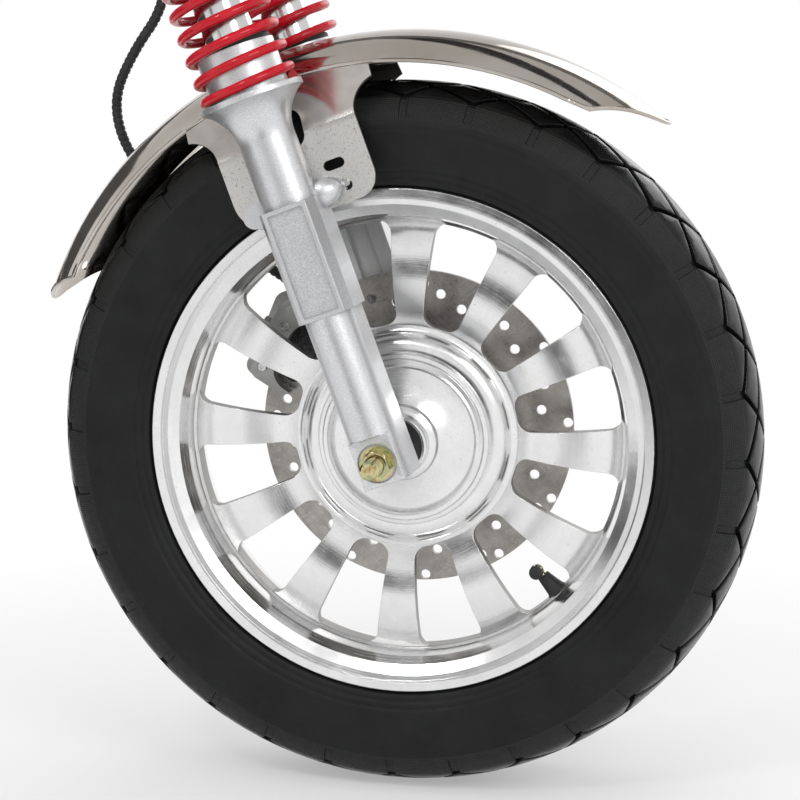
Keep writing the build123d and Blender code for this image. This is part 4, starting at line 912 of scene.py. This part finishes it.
def build_hose():
    """Brake hose in a spiral plastic wrap."""
    step = HOSE_WRAP_PITCH / 7
    sides = 14
    points = even_points(hose_curve_points(), step * MM)

    def wrapped(k, side):
        turn = (k * step / HOSE_WRAP_PITCH + side / sides) % 1
        return (HOSE_RADIUS - (0.55 if turn < 0.22 else 0)) * MM

    hose = swept_tube(points, wrapped, sides)
    new_piece("wrapped_hose", "fork", "black_rubber", *hose, stands_for=("brake_hose",), sharp=60)


# Mudguard's outer section (radius from its centre, y), its ends and the narrowing of each
GUARD_CENTRE = AXLE + Vector((3.6, 0, 5.7)) * MM
GUARD_SECTION = arc_points((260.0, 0.0), (258.9, 12.6), (255.6, 25.0), 8)
GUARD_SECTION += arc_points((255.6, 25.0), (250.1, 33.9), (241.5, 40.0), 8)[1:] + [(240.5, 45.0)]
GUARD_HALF_WIDTH = 45.0
# Angle of each tip, +1 where angles grow towards it, length of the narrowing, middle of its flank
GUARD_TIPS = ((50.6, -1, 60.0, 24.5), (161.8, 1, 36.0, 14.5))
GUARD_FLANK_HALF = 30.0
# Radius at which lengths along the mudguard are turned into angles
GUARD_LENGTH_RADIUS = 250.0
LIP_RADIUS = 1.25
LIP_RUN_STEPS = 60


def guard_point(angle, y):
    """A place on the mudguard's outside, at an angle about its centre."""
    k = 1
    while k < len(GUARD_SECTION) - 1 and GUARD_SECTION[k][1] < abs(y):
        k += 1
    (r0, y0), (r1, y1) = GUARD_SECTION[k - 1 : k + 1]
    radius = r0 + (r1 - r0) * (abs(y) - y0) / (y1 - y0)
    out = Vector((cos(radians(angle)), 0, sin(radians(angle))))
    return GUARD_CENTRE + (out * radius + LEFT * y) * MM


def build_mudguard_lip():
    """Rolled lip round the mudguard's edge and tips."""
    edge = []
    for tip_angle, way, length, flank_back in reversed(GUARD_TIPS):
        middle, end = (-flank_back, GUARD_FLANK_HALF), (-length, GUARD_HALF_WIDTH)
        flank = arc_points((-3.5, 11.5), middle, end, 14)
        nose = arc_points((-3.5, -11.5), (0.0, 0.0), (-3.5, 11.5), 10)
        outline = [(x, -y) for x, y in reversed(flank)] + nose[1:-1] + flank
        tip = []
        for x, y in outline:
            y = max(-GUARD_HALF_WIDTH, min(GUARD_HALF_WIDTH, -way * y))
            tip.append((tip_angle + way * degrees(x / GUARD_LENGTH_RADIUS), y))
        edge.append(tip)
    rear, front = edge
    points = []
    for tip, other in ((rear, front), (front, rear)):
        points += [guard_point(angle, y) for angle, y in tip]
        (first, y), last = tip[-1], other[0][0]
        for k in range(1, LIP_RUN_STEPS):
            points.append(guard_point(first + (last - first) * k / LIP_RUN_STEPS, y))
    points = even_points(points, 3.0 * MM)[:-1]
    tube = swept_tube(points, LIP_RADIUS * MM, 8)
    new_piece("mudguard_lip", "fork", "stainless_sheet", *tube)


# Machined pad at the slider's foot, counted from the axle, and the sunk ring for its washer
PAD_HALF_WIDTH = 13.6
PAD_BOTTOM_S, PAD_TOP_S = -14.4, 16.5
PAD_FACE_Y, PAD_ROOT_Y, PAD_FLOOR_Y = 99.8, 88.0, 98.35
PAD_RING_RADIUS, PAD_HOLE_RADIUS = 12.15, 6.1


def build_foot_pads():
    """Flat pads at the sliders' feet, with a sunk ring round the axle."""
    # Rings as radius and y, then loops as distance within the outline and y
    rings = ((PAD_HOLE_RADIUS, PAD_ROOT_Y), (PAD_HOLE_RADIUS, PAD_FLOOR_Y))
    rings += ((PAD_RING_RADIUS, PAD_FLOOR_Y), (PAD_RING_RADIUS, PAD_FACE_Y - 0.3))
    rings += ((PAD_RING_RADIUS + 0.3, PAD_FACE_Y),)
    loops = ((0.9, PAD_FACE_Y), (0.2, PAD_FACE_Y - 0.3), (0.0, PAD_FACE_Y - 1.0), (0.0, PAD_ROOT_Y))
    corners = [(t, s) for t in (-PAD_HALF_WIDTH, PAD_HALF_WIDTH) for s in (PAD_BOTTOM_S, PAD_TOP_S)]
    angles = [atan2(s, t) % (2 * pi) for t, s in corners]
    rays = []
    for angle in sorted(angles + [2 * pi * k / 72 for k in range(72)]):
        across, up = cos(angle), sin(angle)
        flank = PAD_HALF_WIDTH / max(abs(across), 0.0001)
        end = (PAD_TOP_S if up > 0 else -PAD_BOTTOM_S) / max(abs(up), 0.0001)
        rays.append((across, up, min(flank, end)))
    for side_name, sign in SIDES:
        points = []
        for radius, y in rings:
            points += [fork_point(t * radius, sign * y, s * radius) for t, s, _ in rays]
        for margin, y in loops:
            points += [fork_point(t * (r - margin), sign * y, s * (r - margin)) for t, s, r in rays]
        faces = loop_faces(len(rings) + len(loops), len(rays), closed_rows=True)
        new_piece(f"foot_pad_{side_name}", "fork", "silver_paint", points, faces)


# Bolts on both sides of the fork: t, y of the seat, s, +1 where the head points outwards
FORK_BOLTS = ((-25.5, 58.0, 168.5, -1), (-33.0, 96.5, 448.3, 1))
BOLT_FLATS, BOLT_HEIGHT = 10.0, 5.0
STUD_T, STUD_Y, STUD_S = 33.5, 60.0, 170.0
# Caliper screws: radius and angle about the axle; disc bolts: how many and their radius
CALIPER_SCREWS = ((111.3, 142.5), (111.3, 158.8))
CALIPER_NEAR_Y = 17.0
BRIDGE_BOLTS = ((146.3, 30.0), (152.5, 30.0))
BRIDGE_RADIUS, BRIDGE_BOLT_FLATS = 121.0, 7.0
DISC_BOLTS, DISC_BOLT_RADIUS, DISC_FACE_Y = 5, 38.0, 36.9


def build_bolts():
    """Bolts of the mudguard, crown, caliper and disc, and the stud beside the right leg's boss."""
    washer = [(0.0, 0.0), (6.6, 0.0), (6.6, 1.0), (0.0, 1.0)]
    stud = [(0.0, 0.0), (2.6, 0.0), (2.6, 5.6), (2.2, 6.2), (1.2, 6.2), (1.0, 5.4), (0.0, 5.4)]
    heads = []
    for _, sign in SIDES:
        for t, y, s, way in FORK_BOLTS:
            start, out = fork_point(t, sign * y, s), LEFT * (sign * way)
            heads.append(hex_nut(start, out, UP_LEG, BOLT_FLATS, 0.0, BOLT_HEIGHT, both=False))
            heads.append(turned(washer, start, out, UP_LEG, 32))
        foot = fork_point(STUD_T, sign * STUD_Y, STUD_S)
        heads.append(turned(stud, foot, LEFT * sign, UP_LEG, 28))
    new_piece("fork_bolts", "fork", "bright_steel", *joined(*heads))
    screws = []
    head = [(0.0, 0.2), (1.5, 0.2), (1.5, 0.9), (2.9, 0.9), (3.5, 0.3), (3.5, -0.1), (0.0, -0.1)]
    for radius, angle in CALIPER_SCREWS:
        screws.append(turned(head, wheel_point(radius, angle, CALIPER_NEAR_Y), -LEFT, FORWARD, 32))
    for angle, y in BRIDGE_BOLTS:
        seat = wheel_point(BRIDGE_RADIUS, angle, y)
        out = wheel_point(BRIDGE_RADIUS + 1, angle, y) - seat
        screws.append(hex_nut(seat, out, LEFT, BRIDGE_BOLT_FLATS, 0.0, 6.0, both=False))
    new_piece("caliper_screws", "fork", "bright_steel", *joined(*screws))
    bolts = []
    button = [(0.0, 1.2), (2.3, 1.2), (2.3, 2.6), (3.6, 2.6), (5.2, 1.6), (5.6, 0.0), (0.0, 0.0)]
    for k in range(DISC_BOLTS):
        seat = wheel_point(DISC_BOLT_RADIUS, 90 + 360 * k / DISC_BOLTS, DISC_FACE_Y)
        bolts.append(turned(button, seat, LEFT, FORWARD, 32))
    new_piece("disc_bolts", "wheel", "yellow_zinc", *joined(*bolts))


build_tyre()
build_springs()
build_mudguard_lip()
build_foot_pads()
build_bolts()
build_axle()
build_nuts()
build_valve()
build_hose()


# Floor, light and camera

GROUND_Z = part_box("tyre")[0][2]
# The floor turns to plain white between these distances from the wheel's middle, in metres
FLOOR_NEAR, FLOOR_FAR = 0.3, 0.85
FLOOR_COLOUR = (0.88, 0.88, 0.88, 1)


def plain_floor():
    """A wide pale floor that turns into plain white backdrop away from the wheel."""
    bpy.ops.mesh.primitive_plane_add(size=60, location=(0, 0, GROUND_Z))
    floor = bpy.context.object
    floor.name = "floor"
    made = Surface("pale_floor", Roughness=0.9)
    made.colour(FLOOR_COLOUR)
    away = made.span(made.wheel_distance(), FLOOR_NEAR, FLOOR_FAR, 0.0, 1.0)
    path = made.node("LightPath")
    seen = made.math("MAXIMUM", path.outputs["Is Camera Ray"], path.outputs["Is Glossy Ray"])
    white = made.node("Emission", {"Color": (1, 1, 1, 1), "Strength": 1.0})
    mixed = made.node("MixShader", {"Fac": made.math("MULTIPLY", away, seen)})
    made.feed(mixed.inputs[1], made.shader.outputs[0])
    made.feed(mixed.inputs[2], white.outputs[0])
    made.feed(made.tree.nodes["Material Output"].inputs["Surface"], mixed.outputs[0])
    floor.data.materials.append(made.material)


# Dark cards round the wheel: place from the axle, width and height in metres, shade
DARK_CARDS = (
    ("card_behind_camera", (-0.03, -1.62, 0.02), 0.74, 0.5, 0.02),
    ("card_at_left", (-0.95, 0.05, -0.01), 1.3, 0.42, 0.04),
    ("card_at_rear", (-0.95, 0.3, 0.42), 1.0, 0.44, 0.12),
    ("card_at_rear_corner", (-0.75, -1.25, 0.5), 0.45, 0.7, 0.08),
    ("card_overhead", (0.2, 0.12, 1.6), 3.2, 0.3, 0.05),
    ("card_above_back", (0.2, 1.0, 1.5), 3.2, 0.45, 0.25),
)


def dark_cards():
    """Dark cards seen in reflections alone, as a studio's dark parts show in polished metal."""
    for name, place, width, height, shade in DARK_CARDS:
        bpy.ops.mesh.primitive_plane_add(size=1, location=AXLE + Vector(place))
        card = bpy.context.object
        card.name = name
        card.rotation_euler = (-Vector(place)).to_track_quat("Z", "Y").to_euler()
        card.scale = (width, height, 1)
        made = Surface(name, Roughness=0.9)
        made.colour((shade, shade, shade, 1))
        card.data.materials.append(made.material)
        card.visible_camera = False
        card.visible_diffuse = False
        card.visible_shadow = False


def soft_lamp(name, place, width, height, brightness, in_metal=True):
    """A large soft area lamp turned towards the wheel, a brightness of 1 as bright as white."""
    lamp = bpy.data.lights.new(name, "AREA")
    lamp.shape = "RECTANGLE"
    lamp.size, lamp.size_y = width, height
    lamp.energy = brightness * pi * width * height
    middle = AXLE + Vector((0, 0, 0.1))
    made = bpy.data.objects.new(name, lamp)
    made.location = middle + Vector(place)
    made.rotation_euler = (-Vector(place)).to_track_quat("-Z", "Y").to_euler()
    made.visible_glossy = in_metal
    bpy.context.collection.objects.link(made)


WORLD_LIGHT = 0.5
# What metal shows: the horizon and the ceiling, whose heights are shares of a ray's length
HORIZON_IN_METAL, CEILING_IN_METAL = 0.97, 0.66
HORIZON_END, CEILING_START = 0.2, 0.8


def studio_light():
    """White backdrop for the camera, its greyer ceiling for metal, and soft lamps."""
    world = bpy.data.worlds.new("studio")
    bpy.context.scene.world = world
    world.use_nodes = True
    tree = world.node_tree

    def node(kind, inputs=None, **settings):
        return add_node(tree, kind, inputs, **settings).outputs

    path = node("LightPath")
    ray = node("TexCoord")["Generated"]
    height = node("SeparateXYZ", {"Vector": ray})["Z"]
    heights = {"Value": height, "From Min": HORIZON_END, "From Max": CEILING_START}
    shown = node("MapRange", {**heights, "To Min": HORIZON_IN_METAL, "To Max": CEILING_IN_METAL})[0]
    levels = {"To Min": WORLD_LIGHT, "To Max": shown}
    lit = node("MapRange", {"Value": path["Is Glossy Ray"], **levels})[0]
    brightest = node("Math", {0: lit, 1: path["Is Camera Ray"]}, operation="MAXIMUM")[0]
    sky = tree.nodes["Background"]
    sky.inputs["Color"].default_value = (1, 1, 1, 1)
    tree.links.new(brightest, sky.inputs["Strength"])
    soft_lamp("key", (1.5, -1.6, 1.4), 1.1, 1.1, 4.2)
    soft_lamp("glint", (-0.6, -1.4, 1.5), 0.3, 0.3, 22)
    soft_lamp("fill", (-1.8, -1.5, 1.2), 1.8, 1.8, 0.9, in_metal=False)
    soft_lamp("top", (0.2, 0.2, 2.2), 2.2, 2.2, 1.1, in_metal=False)
    soft_lamp("back", (0.9, 1.9, 1.1), 1.6, 1.4, 1.4)


# The photograph's camera: distances from the axle, then its directions
CAMERA_PLACE = Vector((264.55, -1365.35, 255.55)) * MM
CAMERA_AZIMUTH = 11.18
CAMERA_ELEVATION = 9.47
CAMERA_LENS, CAMERA_SENSOR = 95.85, 36


def photo_camera():
    """The camera at the photograph's place, aimed along its azimuth and elevation."""
    azimuth, elevation = radians(CAMERA_AZIMUTH), radians(CAMERA_ELEVATION)
    back = Vector((sin(azimuth) * cos(elevation), -cos(azimuth) * cos(elevation), sin(elevation)))
    camera = bpy.data.cameras.new("photo_camera")
    camera.lens = CAMERA_LENS
    camera.sensor_width = CAMERA_SENSOR
    made = bpy.data.objects.new("photo_camera", camera)
    made.location = AXLE + CAMERA_PLACE
    made.rotation_euler = (-back).to_track_quat("-Z", "Y").to_euler()
    bpy.context.collection.objects.link(made)
    bpy.context.scene.camera = made


plain_floor()
dark_cards()
studio_light()
photo_camera()
bpy.context.scene.view_settings.view_transform = "Standard"
